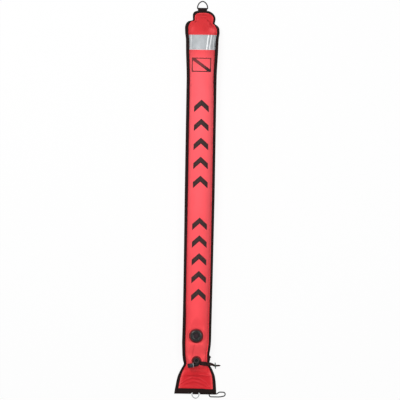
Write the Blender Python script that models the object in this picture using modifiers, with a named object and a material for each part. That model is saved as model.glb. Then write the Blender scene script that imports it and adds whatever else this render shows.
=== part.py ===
"""Surface marker buoy, 1.8 m, inflated and lying on its back.

The head points along +Y, the mouth along -Y, and the front face with the valve and the inflator looks up
along +Z. Z is 0 on the surface that the buoy lies on. All sizes are in metres.
"""

import math

import bmesh
import bpy
import numpy as np
from mathutils import Matrix, Vector

MM = 0.001
GAP = 0.3 * MM  # left between pieces that touch

# Fabric and tapes
FABRIC = 0.8 * MM
SEAM_GAP = GAP  # between the two panels, where they are sewn together
TAPE = 1.0 * MM  # thickness of the edge and hem tapes
FOLD_GAP = 0.7 * MM  # from the panels' cut edges to the fold of the edge tape round them
EDGE_TAPE_WIDTH = 14 * MM  # what shows of the folded edge tape
CROWN_TAPE_WIDTH = 8 * MM  # the same at the sides of the small top lobe
HEAD_TAPE_WIDTH = 8.5 * MM  # and across the head
TAPE_EASE_LENGTH = 16 * MM  # over which the edge tape changes its width
BAND_THICKNESS = 0.4 * MM
BAFFLE_THICKNESS = 0.6 * MM
BAFFLE_ROOT_Y = -805 * MM
BAFFLE_LIPS_Y = (-705 * MM, -675 * MM)
BAFFLE_ROWS = 10

# The buoy's length, from the mouth's edge to the head's edge
HEAD_Y = 854.6 * MM
HEAD_CORNER = 30.5 * MM
BACK_END_Y = -874.5 * MM
FRONT_END_Y = BACK_END_Y + 3.6 * MM
FRONT_HEM_TOP_Y = FRONT_END_Y + 14.8 * MM
BACK_HEM_TOP_Y = BACK_END_Y + 17 * MM
HEM_CLEARANCE = 1.2 * MM  # from the end of a hem tape to where the panel starts to bulge
HEM_START_Y = BACK_END_Y + 20 * MM  # below it both layers run straight to the mouth
BAND_TOP_Y = 748.3 * MM
BAND_BOTTOM_Y = 678.1 * MM

# Half the outline's width, tape included, along Y
HALF_WIDTH = (
    (BACK_END_Y, 94.5 * MM),
    (-850 * MM, 91.8 * MM),
    (-800 * MM, 83.9 * MM),
    (-782 * MM, 77 * MM),
    (-764 * MM, 68.5 * MM),
    (-741 * MM, 57.5 * MM),
    (-728 * MM, 60 * MM),
    (-683 * MM, 62.8 * MM),
    (-640 * MM, 65.1 * MM),
    (-560 * MM, 64.9 * MM),
    (-275 * MM, 65.9 * MM),
    (90 * MM, 67.4 * MM),
    (540 * MM, 67.4 * MM),
    (BAND_BOTTOM_Y, 72.4 * MM),
    (BAND_TOP_Y + 4.7 * MM, 77.4 * MM),
    (HEAD_Y - 80.6 * MM, 77.6 * MM),
    (HEAD_Y - 69.6 * MM, 75.5 * MM),
    (HEAD_Y - 57.6 * MM, 67.2 * MM),
    (HEAD_Y - 48.6 * MM, 49.2 * MM),
    (HEAD_Y - HEAD_CORNER, 51 * MM),
)
# Height of the seam between the panels above the surface that the buoy lies on
SEAM_HEIGHT = (
    (HEM_START_Y, 4.5 * MM),
    (-830 * MM, 6.5 * MM),
    (-805 * MM, 9.5 * MM),
    (-785 * MM, 13.5 * MM),
    (-765 * MM, 19 * MM),
    (-735 * MM, 28 * MM),
    (-700 * MM, 36 * MM),
    (-650 * MM, 42 * MM),
    (-600 * MM, 44 * MM),
    (600 * MM, 44 * MM),
    (BAND_BOTTOM_Y, 42 * MM),
    (713 * MM, 38 * MM),
    (BAND_TOP_Y, 31 * MM),
    (HEAD_Y - 68.6 * MM, 18 * MM),
    (HEAD_Y - 54.6 * MM, 13 * MM),
    (HEAD_Y - 29.6 * MM, 6.5 * MM),
    (HEAD_Y - 12.6 * MM, 4.3 * MM),
)
# How far the front panel swells above its sewn margin
FRONT_SWELL = (
    (HEM_START_Y, 2 * MM),
    (-830 * MM, 6 * MM),
    (-805 * MM, 10 * MM),
    (-785 * MM, 14 * MM),
    (-765 * MM, 21 * MM),
    (-750 * MM, 32 * MM),
    (-706 * MM, 34 * MM),
    (-650 * MM, 44 * MM),
    (-600 * MM, 46 * MM),
    (600 * MM, 46 * MM),
    (BAND_BOTTOM_Y, 43.5 * MM),
    (BAND_TOP_Y, 38 * MM),
    (HEAD_Y - 68.6 * MM, 29 * MM),
    (HEAD_Y - 46.1 * MM, 19 * MM),
    (HEAD_Y - 29.6 * MM, 10 * MM),
    (HEAD_Y - HEAD_TAPE_WIDTH - 1 * MM, 0.0),
)
# Lowest level of the back panel: it lies flat on the surface, and lifts off it at the hem and the head
UNDERSIDE = (
    (HEM_START_Y, 2.8 * MM),
    (-830 * MM, 1.5 * MM),
    (-805 * MM, 0.0),
    (HEAD_Y - 54.6 * MM, 0.0),
    (HEAD_Y - 29.6 * MM, 1.5 * MM),
    (HEAD_Y - 12.6 * MM, 3.35 * MM),
)
ARCH_INSET = 0.8 * MM  # from the edge tape to where the panels start to bulge
BACK_PRESS = 1.10  # how much deeper the back panel would hang without the surface
# The photographed buoy isn't quite straight: sideways shift of the outline along Y
SIDE_SHIFT = (
    (BACK_END_Y, -3.2 * MM),
    (-850 * MM, -1.8 * MM),
    (-800 * MM, 0.4 * MM),
    (-764 * MM, 1.5 * MM),
    (-741 * MM, 0.6 * MM),
    (-705 * MM, -2.1 * MM),
    (-614 * MM, -0.6 * MM),
    (-275 * MM, 1.5 * MM),
    (90 * MM, 2.2 * MM),
    (BAND_TOP_Y + 4.7 * MM, 2.4 * MM),
    (HEAD_Y - 79.6 * MM, 1.4 * MM),
    (HEAD_Y - 57.6 * MM, 4.2 * MM),
    (HEAD_Y - 46.6 * MM, 8.1 * MM),
    (HEAD_Y - 32.6 * MM, 9.4 * MM),
    (HEAD_Y - 24.6 * MM, 8.8 * MM),
    (HEAD_Y - 14.6 * MM, 5.8 * MM),
    (HEAD_Y - 8.6 * MM, 3.6 * MM),
    (HEAD_Y, 1.5 * MM),
)
# Its left shoulder also sits higher than its right one
SHOULDER_SKEW = 0.165
SKEW_Y = HEAD_Y - 51.6 * MM
SKEW_REACH = 47 * MM

ARCH_STEPS = 14  # facets across a panel
ROW_STEP = 180 * MM  # longest facet along a panel
LEAST_ROW_STEP = 5 * MM  # and shortest
CORNER_STEPS = 6  # facets round a corner of the head
LANDING_MARGIN = 1 * MM  # flat fabric round the valve's cap or the inflator's flange

# Rings and the webbing tabs that hold them
WEBBING = 1.2 * MM
HEAD_RING_WIRE = 5 * MM
HEAD_RING_WIDTH = 50.5 * MM
HEAD_RING_X = 1.5 * MM
HEAD_RING_BAR_Y = HEAD_Y + 9.9 * MM
HEAD_RING_TOP_Y = HEAD_RING_BAR_Y + 35.5 * MM
HEAD_TAB_WIDTH = 38 * MM
HEAD_TAB_END_Y = HEAD_Y - 7.6 * MM
TAIL_RING_WIRE = 4 * MM
TAIL_RING_WIDTH = 36 * MM
TAIL_RING_BAR_Y = BACK_END_Y - 3 * MM
TAIL_RING_END_Y = TAIL_RING_BAR_Y - 22.5 * MM
TAIL_RING_X = -2 * MM
TAIL_TAB_WIDTH = 25 * MM
TAIL_TAB_END_Y = BACK_END_Y + 15.5 * MM
RING_BEND = 3 * MM  # bend radius at a ring's bar, on the wire's centre line

# Elastic loop at the mouth
LOOP_CORD = 4.5 * MM
LOOP_TAPE_X = (18 * MM, 86 * MM)
LOOP_TAPE_HEIGHT = 5 * MM
LOOP_TAPE_END_Y = BACK_END_Y - 6.4 * MM
LOOP_ROUTE = (
    (0.0600, -0.8812),
    (0.0600, -0.8820),
    (0.0607, -0.8854),
    (0.0626, -0.8884),
    (0.0655, -0.8903),
    (0.0690, -0.8910),
    (0.0785, -0.8911),
    (0.0885, -0.8911),
    (0.1005, -0.8911),
    (0.1120, -0.8901),
    (0.1230, -0.8877),
    (0.1276, -0.8865),
    (0.1310, -0.8831),
    (0.1322, -0.8785),
    (0.1310, -0.8739),
    (0.1276, -0.8705),
    (0.1230, -0.8693),
    (0.1090, -0.8692),
    (0.1036, -0.8704),
    (0.0991, -0.8737),
    (0.0947, -0.8769),
    (0.0893, -0.8781),
    (0.0863, -0.8781),
)

# Over-pressure valve
VALVE_X = -3 * MM
VALVE_Y = -615.6 * MM
VALVE_LANDING_Z = 78.5 * MM  # the fabric lies flat at this height round the valve
VALVE_PATCH_DIAMETER = 65 * MM
PATCH_THICKNESS = 0.6 * MM
VALVE_DIAMETER = 54 * MM
VALVE_NECK = 37.4 * MM
VALVE_FLANGE = 50 * MM
FLANGE_THICKNESS = 1.5 * MM
VALVE_BORE = 26 * MM
VALVE_SEAT = 4.5 * MM  # above the fabric
BASE_HOLES = 6
BASE_HOLE = 5 * MM
CAP_WALL = 2.5 * MM
CAP_DISH = 1.2 * MM  # how deep the cap's top is dished
CAP_CAVITY = 44 * MM
CAP_NOTCHES = 18
CAP_NOTCH = 4 * MM
CAP_VENTS = 8
CAP_VENT = 3.6 * MM
VALVE_TRAVEL = 3 * MM
POPPET_DIAMETER = 32 * MM
POPPET_THICKNESS = 1.5 * MM
POPPET_STEM = 4 * MM
SEAL_THICKNESS = 1.5 * MM
KNOB_SHANK = 14 * MM
KNOB_DIAMETER = 23 * MM
KNOB_HEIGHT = 7 * MM
KNOB_CLEARANCE = 1 * MM
SPRING_WIRE = 0.8 * MM
VALVE_SPRING_PRESSED = 1.1 * MM  # the spring's length when the poppet is all the way up
VALVE_SPRING_TURNS = 2.5
VALVE_SPRING_RADII = (10 * MM, 8.6 * MM)

# Inflator
INFLATOR_Y = -728.8 * MM
INFLATOR_LANDING_Z = 52 * MM
INFLATOR_PATCH_DIAMETER = 42 * MM
INFLATOR_FLANGE = 38 * MM
INFLATOR_NECK = 19.4 * MM
INFLATOR_BORE = 14 * MM
INFLATOR_NECK_TOP = 5 * MM  # above the fabric
HUB_DIAMETER = 27 * MM
HUB_HEIGHT = 17.5 * MM
NUT_DIAMETER = 25 * MM
NUT_HEAD = 3 * MM
NUT_SHANK = 13.4 * MM
NUT_BORE = 8 * MM
NUT_SOCKET = 10 * MM
NUT_SOCKET_DEPTH = 5 * MM
NUT_DISH = 16 * MM
NUT_DISH_DEPTH = 1.6 * MM
ARM_DIAMETER = 17 * MM
ARM_BORE = 8 * MM
ARM_BEND_X = 3.5 * MM
ARM_BEND_Y = -745.4 * MM
OUTLET_ANGLE = math.radians(189.5)  # the way the mouthpiece points, seen from the front
# Along the outlet, from the bend
ARM_END = 16 * MM
OUTLET_DIAMETER = 15 * MM
OUTLET_END = 29 * MM
CHAMBER_START = 13 * MM
CHAMBER_BORE = 12 * MM
SEAT_START = 24.7 * MM
SEAT_THICKNESS = 1.5 * MM
SEAT_BORE = 7 * MM
LOCK_RING_WIDTH = 3 * MM
LOCK_RING_DIAMETER = 23 * MM
LOCK_RING_GRIPS = 8
LOCK_RING_GRIP = 3 * MM
MOUTHPIECE_TRAVEL = 3 * MM
MOUTHPIECE_DIAMETER = 20.6 * MM
MOUTHPIECE_RIB = 0.9 * MM
MOUTHPIECE_RIBS = 3
MOUTHPIECE_BORE = 11 * MM
MOUTHPIECE_LENGTH = 21 * MM
MOUTHPIECE_LIP = 5 * MM  # plain end beyond the ribs
SPIDER_THICKNESS = 1.5 * MM
SPIDER_HOLES = 5
SPIDER_HOLE = 2.4 * MM
PLUNGER_STEM = 3 * MM
PLUNGER_DISC = 9.4 * MM
PLUNGER_THICKNESS = 1.5 * MM
PLUNGER_SEAL = 1.2 * MM
PLUNGER_SPRING_TURNS = 4
PLUNGER_SPRING_RADIUS = 4.2 * MM

# Closing strap and its toggle
STRAP_EYE = 31 * MM
STRAP_THICKNESS = 2 * MM
STRAP_WIDTH = 18 * MM
STRAP_TAIL = 6 * MM
STRAP_TIP = 3 * MM
TOGGLE_LENGTH = 28 * MM
TOGGLE_DIAMETER = 4.6 * MM
TOGGLE_BOSS = 10 * MM
TOGGLE_CLEARANCE = 0.6 * MM
TOGGLE_LIES_ALONG = (-0.08, 1, 0)
TOGGLE_X = 85.5 * MM
TOGGLE_Y = -749.5 * MM
TOGGLE_Z = 20 * MM

STEPS = 26  # facets round a turned piece
SMALL_STEPS = 20  # and round a small one
HOLE_STEPS = 8  # and round a vent, a notch or another small hole


def clear_scene():
    for obj in list(bpy.data.objects):
        bpy.data.objects.remove(obj)


def new_collection(name, hidden=False):
    made = bpy.data.collections.new(name)
    made.hide_render = hidden
    bpy.context.scene.collection.children.link(made)
    return made


def material(name, colour, roughness, metallic=0.0):
    made = bpy.data.materials.new(name)
    made.use_nodes = True
    shader = made.node_tree.nodes["Principled BSDF"]
    shader.inputs["Base Color"].default_value = (*colour, 1)
    shader.inputs["Roughness"].default_value = roughness
    shader.inputs["Metallic"].default_value = metallic
    return made


def slopes(x, y):
    """Slopes of a smooth curve through the knots that never overshoots them."""
    step = np.diff(x)
    rise = np.diff(y) / step
    out = np.zeros(len(x))
    for i in range(1, len(x) - 1):
        if rise[i - 1] * rise[i] > 0:
            a = 2 * step[i] + step[i - 1]
            b = step[i] + 2 * step[i - 1]
            out[i] = (a + b) / (a / rise[i - 1] + b / rise[i])
    return out


def smooth(knots, at):
    """The value at a place of the smooth curve through (place, value) knots; flat beyond both ends."""
    x, y = (np.array(column) for column in zip(*knots))
    at = min(max(at, x[0]), x[-1])
    i = min(int(np.searchsorted(x, at, side="right")) - 1, len(x) - 2)
    step = x[i + 1] - x[i]
    t = (at - x[i]) / step
    m = slopes(x, y)
    return float(
        (1 + 2 * t) * (1 - t) ** 2 * y[i]
        + t * (1 - t) ** 2 * step * m[i]
        + t * t * (3 - 2 * t) * y[i + 1]
        + t * t * (t - 1) * step * m[i + 1]
    )


def ease(t):
    t = min(max(t, 0.0), 1.0)
    return t * t * (3 - 2 * t)


def askew(x, y):
    """Moves a point of the straight outline to where it lies on the slightly crooked buoy."""
    bump = ease(1 - abs(y - SKEW_Y) / SKEW_REACH)
    return x + smooth(SIDE_SHIFT, y), y - SHOULDER_SKEW * x * bump


def tape_width(y):
    notch = HALF_WIDTH[-2][0]
    share = ease((y - notch + TAPE_EASE_LENGTH) / TAPE_EASE_LENGTH)
    return EDGE_TAPE_WIDTH + (CROWN_TAPE_WIDTH - EDGE_TAPE_WIDTH) * share


def landing(y):
    """Height of the flat place under the valve or the inflator, and of the slope away from it."""
    reach = VALVE_DIAMETER / 2 + LANDING_MARGIN
    over_valve = VALVE_LANDING_Z + 0.3 * max(0.0, abs(y - VALVE_Y) - reach)
    reach = INFLATOR_FLANGE / 2 + LANDING_MARGIN
    over_inflator = INFLATOR_LANDING_Z + 0.6 * max(0.0, abs(y - INFLATOR_Y) - reach)
    return min(over_valve, over_inflator)


def arch(half, height, steps):
    """Points (across, up) of the circle arc over a chord, from one end to the other."""
    if height < 0.01 * MM:
        return [(half * (2 * i / steps - 1), 0.0) for i in range(steps + 1)]
    radius = (half**2 + height**2) / (2 * height)
    lean = math.asin(min(1.0, half / radius))
    angles = [lean * (2 * i / steps - 1) for i in range(steps + 1)]
    return [(radius * math.sin(a), radius * math.cos(a) - radius + height) for a in angles]


def steepness(y):
    """How much a distance square to the seam grows when it is measured straight up."""
    step = 1 * MM
    return math.hypot(1, (smooth(SEAM_HEIGHT, y + step) - smooth(SEAM_HEIGHT, y - step)) / (2 * step))


def row_stops():
    """Places along the buoy, from the mouth to where the head's corners begin, where the cloth may crease."""
    top = HEAD_Y - HEAD_CORNER
    stops = [BACK_END_Y, HEM_START_Y, BAND_BOTTOM_Y, BAND_TOP_Y, top]
    for y, size in ((VALVE_Y, VALVE_DIAMETER), (INFLATOR_Y, INFLATOR_FLANGE)):
        stops += [y - size / 2 - LANDING_MARGIN, y + size / 2 + LANDING_MARGIN]
    for y, _ in (*HALF_WIDTH, *SEAM_HEIGHT, *FRONT_SWELL):
        if y < top and min(abs(y - stop) for stop in stops) > LEAST_ROW_STEP:
            stops.append(y)
    stops.sort()
    places = []
    for y, after in zip(stops, stops[1:]):
        parts = math.ceil((after - y) / ROW_STEP)
        places += [y + (after - y) * i / parts for i in range(parts)]
    return places


def corner(inset_x, inset_y):
    """(half-width, y) of points round the head's corner, this far inside the outline."""
    points = []
    for i in range(CORNER_STEPS + 1):
        turn = math.pi / 2 * i / CORNER_STEPS
        x = HALF_WIDTH[-1][1] - inset_x - (HEAD_CORNER - inset_x) * (1 - math.cos(turn))
        points.append((x, HEAD_Y - HEAD_CORNER + (HEAD_CORNER - inset_y) * math.sin(turn)))
    return points


def tape_rows():
    """(outer half-width, its y, inner half-width, its y) of the edge tape, from the mouth to the head."""
    rows = []
    for y in row_stops():
        outer = smooth(HALF_WIDTH, y)
        rows.append((outer, y, outer - tape_width(y), y))
    inner = corner(CROWN_TAPE_WIDTH, HEAD_TAPE_WIDTH)
    return rows + [(*a, *b) for a, b in zip(corner(0, 0), inner)]


def plain_row(y):
    """(half-width of the panels, half-width between the tapes, y)"""
    outer = smooth(HALF_WIDTH, y)
    return outer - TAPE - FOLD_GAP, outer - tape_width(y), y


def panel_rows():
    rows = [plain_row(y) for y in row_stops()]
    inner = corner(CROWN_TAPE_WIDTH, HEAD_TAPE_WIDTH)
    for half, y in corner(TAPE + FOLD_GAP, TAPE + FOLD_GAP):
        between = np.interp(y, [p[1] for p in inner], [p[0] for p in inner])
        rows.append((half, float(between), y))
    return rows


def panel_row(row, front, lift=0.0):
    """Outer face of a panel across this row: sewn margin, arch, sewn margin; lift raises it square to itself."""
    edge, between, y = row
    seam = smooth(SEAM_HEIGHT, y)
    margin = (SEAM_GAP / 2 + FABRIC) * steepness(y)
    half = between - ARCH_INSET
    if front:
        swell = smooth(FRONT_SWELL, y)
        points = [(x, seam + margin + z) for x, z in arch(half, swell, ARCH_STEPS)]
        points = [(x, min(z, landing(y))) for x, z in points]
        ends = seam + margin
    else:
        lowest = smooth(UNDERSIDE, y)
        drop = max(0.0, seam - margin - lowest) * BACK_PRESS
        points = [(x, max(seam - margin - z, lowest)) for x, z in arch(half, drop, ARCH_STEPS)]
        ends = seam - margin
    if lift:
        points = lifted(points, lift)
    points = [(-edge, ends), *points, (edge, ends)]
    return [(*askew(x, y), z) for x, z in points]


def lifted(points, lift):
    out = []
    for i, (x, z) in enumerate(points):
        before = points[max(i - 1, 0)]
        after = points[min(i + 1, len(points) - 1)]
        along = Vector((after[0] - before[0], after[1] - before[1])).normalized()
        out.append((x - along.y * lift, z + along.x * lift))
    return out


def height_over(rows, x, y, front=True):
    """Height of a panel's outer face above a point, between the rows that the solids have."""
    lines = [panel_row(row, front) for row in rows]
    levels = [(line[0][1] + line[-1][1]) / 2 for line in lines]
    i = min(max(int(np.searchsorted(levels, y)), 1), len(lines) - 1)
    share = (y - levels[i - 1]) / (levels[i] - levels[i - 1])
    ends = [np.interp(x, [p[0] for p in line], [p[2] for p in line]) for line in lines[i - 1 : i + 1]]
    return float(ends[0] + (ends[1] - ends[0]) * share)


def split_quad(work, corners):
    """Adds two triangles that meet along the shorter diagonal, so that layers of cloth crease alike."""
    a, b, c, d = corners
    if (a.co - c.co).length < (b.co - d.co).length:
        halves = ((a, b, c), (a, c, d))
    else:
        halves = ((a, b, d), (b, c, d))
    for half in halves:
        work.faces.new(half)


class Builder:
    """Makes objects in the buoy's collection and cutters in the hidden one."""

    def __init__(self):
        self.parts = new_collection("surface_marker_buoy")
        self.cutters = new_collection("cutters", hidden=True)

    def add(self, name, mesh, mat=None, cutter=False):
        obj = bpy.data.objects.new(name, mesh)
        (self.cutters if cutter else self.parts).objects.link(obj)
        if mat:
            mesh.materials.append(mat)
        if cutter:
            obj.hide_render = True
            obj.display_type = "WIRE"
        return obj

    def grid(self, name, rows, mat, thickness, flip=False):
        """An open sheet through rows of points, thickened away from the side that its faces look to."""
        mesh = bpy.data.meshes.new(name)
        work = bmesh.new()
        lines = [[work.verts.new(p) for p in row] for row in rows]
        for a, b in zip(lines, lines[1:]):
            for i in range(len(a) - 1):
                corners = (a[i], a[i + 1], b[i + 1], b[i])
                split_quad(work, corners[::-1] if flip else corners)
        work.to_mesh(mesh)
        work.free()
        obj = self.add(name, mesh, mat)
        solid = obj.modifiers.new("thickness", "SOLIDIFY")
        solid.thickness = thickness
        solid.offset = -1
        solid.use_even_offset = True
        return obj

    def loft(self, name, rings, mat=None, cutter=False):
        """A closed body through rings of equally many points, with flat ends."""
        mesh = bpy.data.meshes.new(name)
        work = bmesh.new()
        lines = [[work.verts.new(p) for p in ring] for ring in rings]
        count = len(lines[0])
        for a, b in zip(lines, lines[1:]):
            for i in range(count):
                j = (i + 1) % count
                split_quad(work, (a[i], a[j], b[j], b[i]))
        work.faces.new(lines[0])
        work.faces.new(reversed(lines[-1]))
        bmesh.ops.recalc_face_normals(work, faces=work.faces)
        work.to_mesh(mesh)
        work.free()
        return self.add(name, mesh, mat, cutter)

    def turned(self, name, profile, mat, parent=None, closed=True, steps=STEPS, cutter=False):
        """A profile of (radius, height) turned about the local Z axis."""
        mesh = bpy.data.meshes.new(name)
        points = [(r, 0, z) for r, z in profile]
        edges = [(i, i + 1) for i in range(len(points) - 1)]
        if closed:
            edges.append((len(points) - 1, 0))
        mesh.from_pydata(points, edges, [])
        obj = self.add(name, mesh, mat, cutter)
        obj.parent = parent
        screw = obj.modifiers.new("turn", "SCREW")
        screw.steps = steps
        screw.render_steps = steps
        screw.use_merge_vertices = True
        screw.merge_threshold = 0.00001
        return obj

    def tube(self, name, points, radius, mat, cyclic=False, resolution=2, radii=None):
        """A round wire or cord along points."""
        curve = bpy.data.curves.new(name, "CURVE")
        curve.dimensions = "3D"
        curve.bevel_depth = radius
        curve.bevel_resolution = resolution
        curve.use_fill_caps = True
        spline = curve.splines.new("POLY")
        spline.points.add(len(points) - 1)
        for i, p in enumerate(points):
            spline.points[i].co = (*p, 1)
            if radii:
                spline.points[i].radius = radii[i]
        spline.use_cyclic_u = cyclic
        obj = bpy.data.objects.new(name, curve)
        self.parts.objects.link(obj)
        curve.materials.append(mat)
        return obj

    def plate(self, name, outline, half_width, mat):
        """An outline in the Y-Z plane, drawn out along X to both sides."""
        curve = bpy.data.curves.new(name, "CURVE")
        curve.dimensions = "2D"
        curve.fill_mode = "BOTH"
        curve.extrude = half_width
        spline = curve.splines.new("POLY")
        spline.points.add(len(outline) - 1)
        for i, (y, z) in enumerate(outline):
            spline.points[i].co = (y, z, 0, 1)
        spline.use_cyclic_u = True
        obj = bpy.data.objects.new(name, curve)
        self.parts.objects.link(obj)
        curve.materials.append(mat)
        return obj

    def cylinder(self, name, radius, low, high, at=(0, 0), parent=None, steps=24):
        """An upright cylinder for a Boolean, between two local heights."""
        mesh = bpy.data.meshes.new(name)
        work = bmesh.new()
        bmesh.ops.create_cone(
            work,
            cap_ends=True,
            segments=steps,
            radius1=radius,
            radius2=radius,
            depth=high - low,
            matrix=Matrix.Translation((*at, (low + high) / 2)),
        )
        work.to_mesh(mesh)
        work.free()
        obj = self.add(name, mesh, cutter=True)
        obj.parent = parent
        return obj

    def ball(self, name, radius, parent):
        mesh = bpy.data.meshes.new(name)
        work = bmesh.new()
        bmesh.ops.create_uvsphere(work, u_segments=24, v_segments=12, radius=radius)
        work.to_mesh(mesh)
        work.free()
        obj = self.add(name, mesh, cutter=True)
        obj.parent = parent
        return obj


def boolean(obj, other, operation):
    modifier = obj.modifiers.new(f"{operation.lower()} {other.name}", "BOOLEAN")
    modifier.operation = operation
    modifier.object = other
    modifier.solver = "EXACT"


def cut(obj, *others):
    for other in others:
        boolean(obj, other, "DIFFERENCE")


def join(obj, *others):
    for other in others:
        boolean(obj, other, "UNION")


def around(count, radius, start=0.0):
    turns = [start + 2 * math.pi * i / count for i in range(count)]
    return [(radius * math.cos(a), radius * math.sin(a)) for a in turns]


def ring_of(rect):
    """Profile of a turned ring from (inner radius, outer radius, low, high)."""
    inner, outer, low, high = rect
    return [(inner, high), (outer, high), (outer, low), (inner, low)]


def make_panels(build, rows, fabric):
    front_first = plain_row(FRONT_END_Y + TAPE + GAP)
    back_first = plain_row(BACK_END_Y + TAPE + GAP)
    front = [panel_row(row, True) for row in (front_first, *rows[1:])]
    back = [panel_row(row, False) for row in (back_first, *rows[1:])]
    front_panel = build.grid("front_panel", front, fabric, FABRIC)
    build.grid("back_panel", back, fabric, FABRIC, flip=True)
    for name, x, y, top, neck in (
        ("valve_hole", VALVE_X, VALVE_Y, VALVE_LANDING_Z, VALVE_NECK),
        ("inflator_hole", 0, INFLATOR_Y, INFLATOR_LANDING_Z, INFLATOR_NECK),
    ):
        hole = build.cylinder(name, neck / 2 + GAP, top - 4 * MM, top + 4 * MM, (x, y))
        cut(front_panel, hole)


def make_patches(build, rows, coated):
    """Round patches welded to the front panel under the valve and the inflator."""
    lines = [panel_row(row, True, lift=GAP + PATCH_THICKNESS)[1:-1] for row in rows]
    for name, x, y, z, size, neck in (
        ("valve", VALVE_X, VALVE_Y, VALVE_LANDING_Z, VALVE_PATCH_DIAMETER, VALVE_NECK),
        ("inflator", 0, INFLATOR_Y, INFLATOR_LANDING_Z, INFLATOR_PATCH_DIAMETER, INFLATOR_NECK),
    ):
        near = [i for i, row in enumerate(rows) if abs(row[2] - y) < size / 2]
        patch = build.grid(f"{name}_patch", lines[near[0] - 1 : near[-1] + 2], coated, PATCH_THICKNESS)
        low, high = z - size / 2, z + size / 2
        boolean(patch, build.cylinder(f"{name}_patch_outline", size / 2, low, high, (x, y)), "INTERSECT")
        cut(patch, build.cylinder(f"{name}_patch_hole", neck / 2 + GAP, low, high, (x, y)))


def make_edge_binding(build, webbing):
    """One tape folded round the sewn margin, from the mouth's right corner round the head to its left corner."""
    inside = SEAM_GAP / 2 + FABRIC + GAP
    outside = inside + TAPE

    def ring(row, side):
        outer, y, inner, inner_y = row
        along = TAPE / math.hypot(outer - inner, y - inner_y)
        wall, wall_y = outer + (inner - outer) * along, y + (inner_y - y) * along
        seam, inner_seam = smooth(SEAM_HEIGHT, y), smooth(SEAM_HEIGHT, inner_y)
        over, under = outside * steepness(y), inside * steepness(y)
        shape = (
            (inner, inner_y, inner_seam + over),
            (outer, y, seam + over),
            (outer, y, seam - over),
            (inner, inner_y, inner_seam - over),
            (inner, inner_y, inner_seam - under),
            (wall, wall_y, seam - under),
            (wall, wall_y, seam + under),
            (inner, inner_y, inner_seam + under),
        )
        return [(*askew(side * x, at), z) for x, at, z in shape]

    rows = tape_rows()
    right = [ring(row, 1) for row in rows]
    left = [ring(row, -1) for row in reversed(rows)]
    build.loft("edge_binding", right + left, webbing)


def make_hem(build, name, front, top_y, end_y, webbing):
    """Tape over a panel's outer face along the mouth, turned over its cut edge."""
    side = 1 if front else -1
    top = panel_row(plain_row(top_y), front)[1:-1]
    end = panel_row(plain_row(end_y), front)[1:-1]
    for line in (top, end):
        for i, inward in ((0, HEM_CLEARANCE), (-1, -HEM_CLEARANCE)):
            x, y, z = line[i]
            line[i] = (x + inward, y, z + side * 0.05 * MM)
    rings = []
    for (top_x, _, top_z), (x, _, z) in zip(top, end):
        inner = z - side * FABRIC
        rings.append(
            [
                (top_x, top_y, top_z + side * GAP),
                (top_x, top_y, top_z + side * (GAP + TAPE)),
                (x, end_y, z + side * (GAP + TAPE)),
                (x, end_y, inner),
                (x, end_y + TAPE, inner),
                (x, end_y + TAPE, z + side * GAP),
            ]
        )
    build.loft(name, rings, webbing)


def make_reflective_band(build, rows, reflective):
    """A strip sewn across the front panel below the head, clear of the edge tape."""
    lines = []
    for row in rows:
        if not BAND_BOTTOM_Y - 1e-6 <= row[2] <= BAND_TOP_Y + 1e-6:
            continue
        line = panel_row(row, True, lift=GAP + BAND_THICKNESS)[1:-1]
        starts = [tuple((np.array(line[i]) + np.array(line[j])) / 2) for i, j in ((0, 1), (-1, -2))]
        lines.append([starts[0], *line[1:-1], starts[1]])
    build.grid("reflective_band", lines, reflective, BAND_THICKNESS)


def make_baffles(build, film):
    """Two flaps of film inside the mouth, which press together as a one-way valve."""
    root = BAFFLE_ROOT_Y
    lips_start, lips_end = BAFFLE_LIPS_Y
    stations = [root + (lips_end - root) * i / BAFFLE_ROWS for i in range(BAFFLE_ROWS + 1)]
    clearance = FABRIC + GAP + 0.05 * MM
    lip = GAP / 2 + BAFFLE_THICKNESS + 0.05 * MM
    for name, front in (("front_baffle", True), ("back_baffle", False)):
        side = 1 if front else -1
        lines = []
        for y in stations:
            line = panel_row(plain_row(y), front)[1:-1]
            seam = smooth(SEAM_HEIGHT, y)
            open_share = 1 - ease((y - root) / (lips_start - root))
            points = []
            for i, (x, at, z) in enumerate(line[1:-1]):
                away = max(0.0, side * (z - seam) - clearance - lip)
                points.append((x * 0.96, at, seam + side * (lip + open_share * away)))
            lines.append(points)
        build.grid(name, lines, film, BAFFLE_THICKNESS, flip=not front)


def d_ring(bar_y, end_y, width, wire, x, z):
    """Centre line of a D-shaped ring: a straight bar, two tight bends and a bow that is a little pointed."""
    half = width / 2 - wire / 2
    side = 1 if end_y > bar_y else -1
    reach = abs(end_y - bar_y) - wire / 2
    points = [(-half + RING_BEND, 0.0), (half - RING_BEND, 0.0)]
    for i in range(1, 4):
        turn = math.pi / 2 * i / 3
        points.append((half - RING_BEND * (1 - math.sin(turn)), RING_BEND * (1 - math.cos(turn))))
    for i in range(1, 12):
        turn = math.pi * i / 12
        bow = reach - RING_BEND
        sharper = math.sin(turn) * (1 - 0.12 * math.sin(2 * turn) ** 2)
        points.append((half * math.cos(turn), RING_BEND + bow * sharper))
    for i in range(3, 0, -1):
        turn = math.pi / 2 * i / 3
        points.append((-half + RING_BEND * (1 - math.sin(turn)), RING_BEND * (1 - math.cos(turn))))
    return [(x + px, bar_y + side * py, z) for px, py in points]


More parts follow.
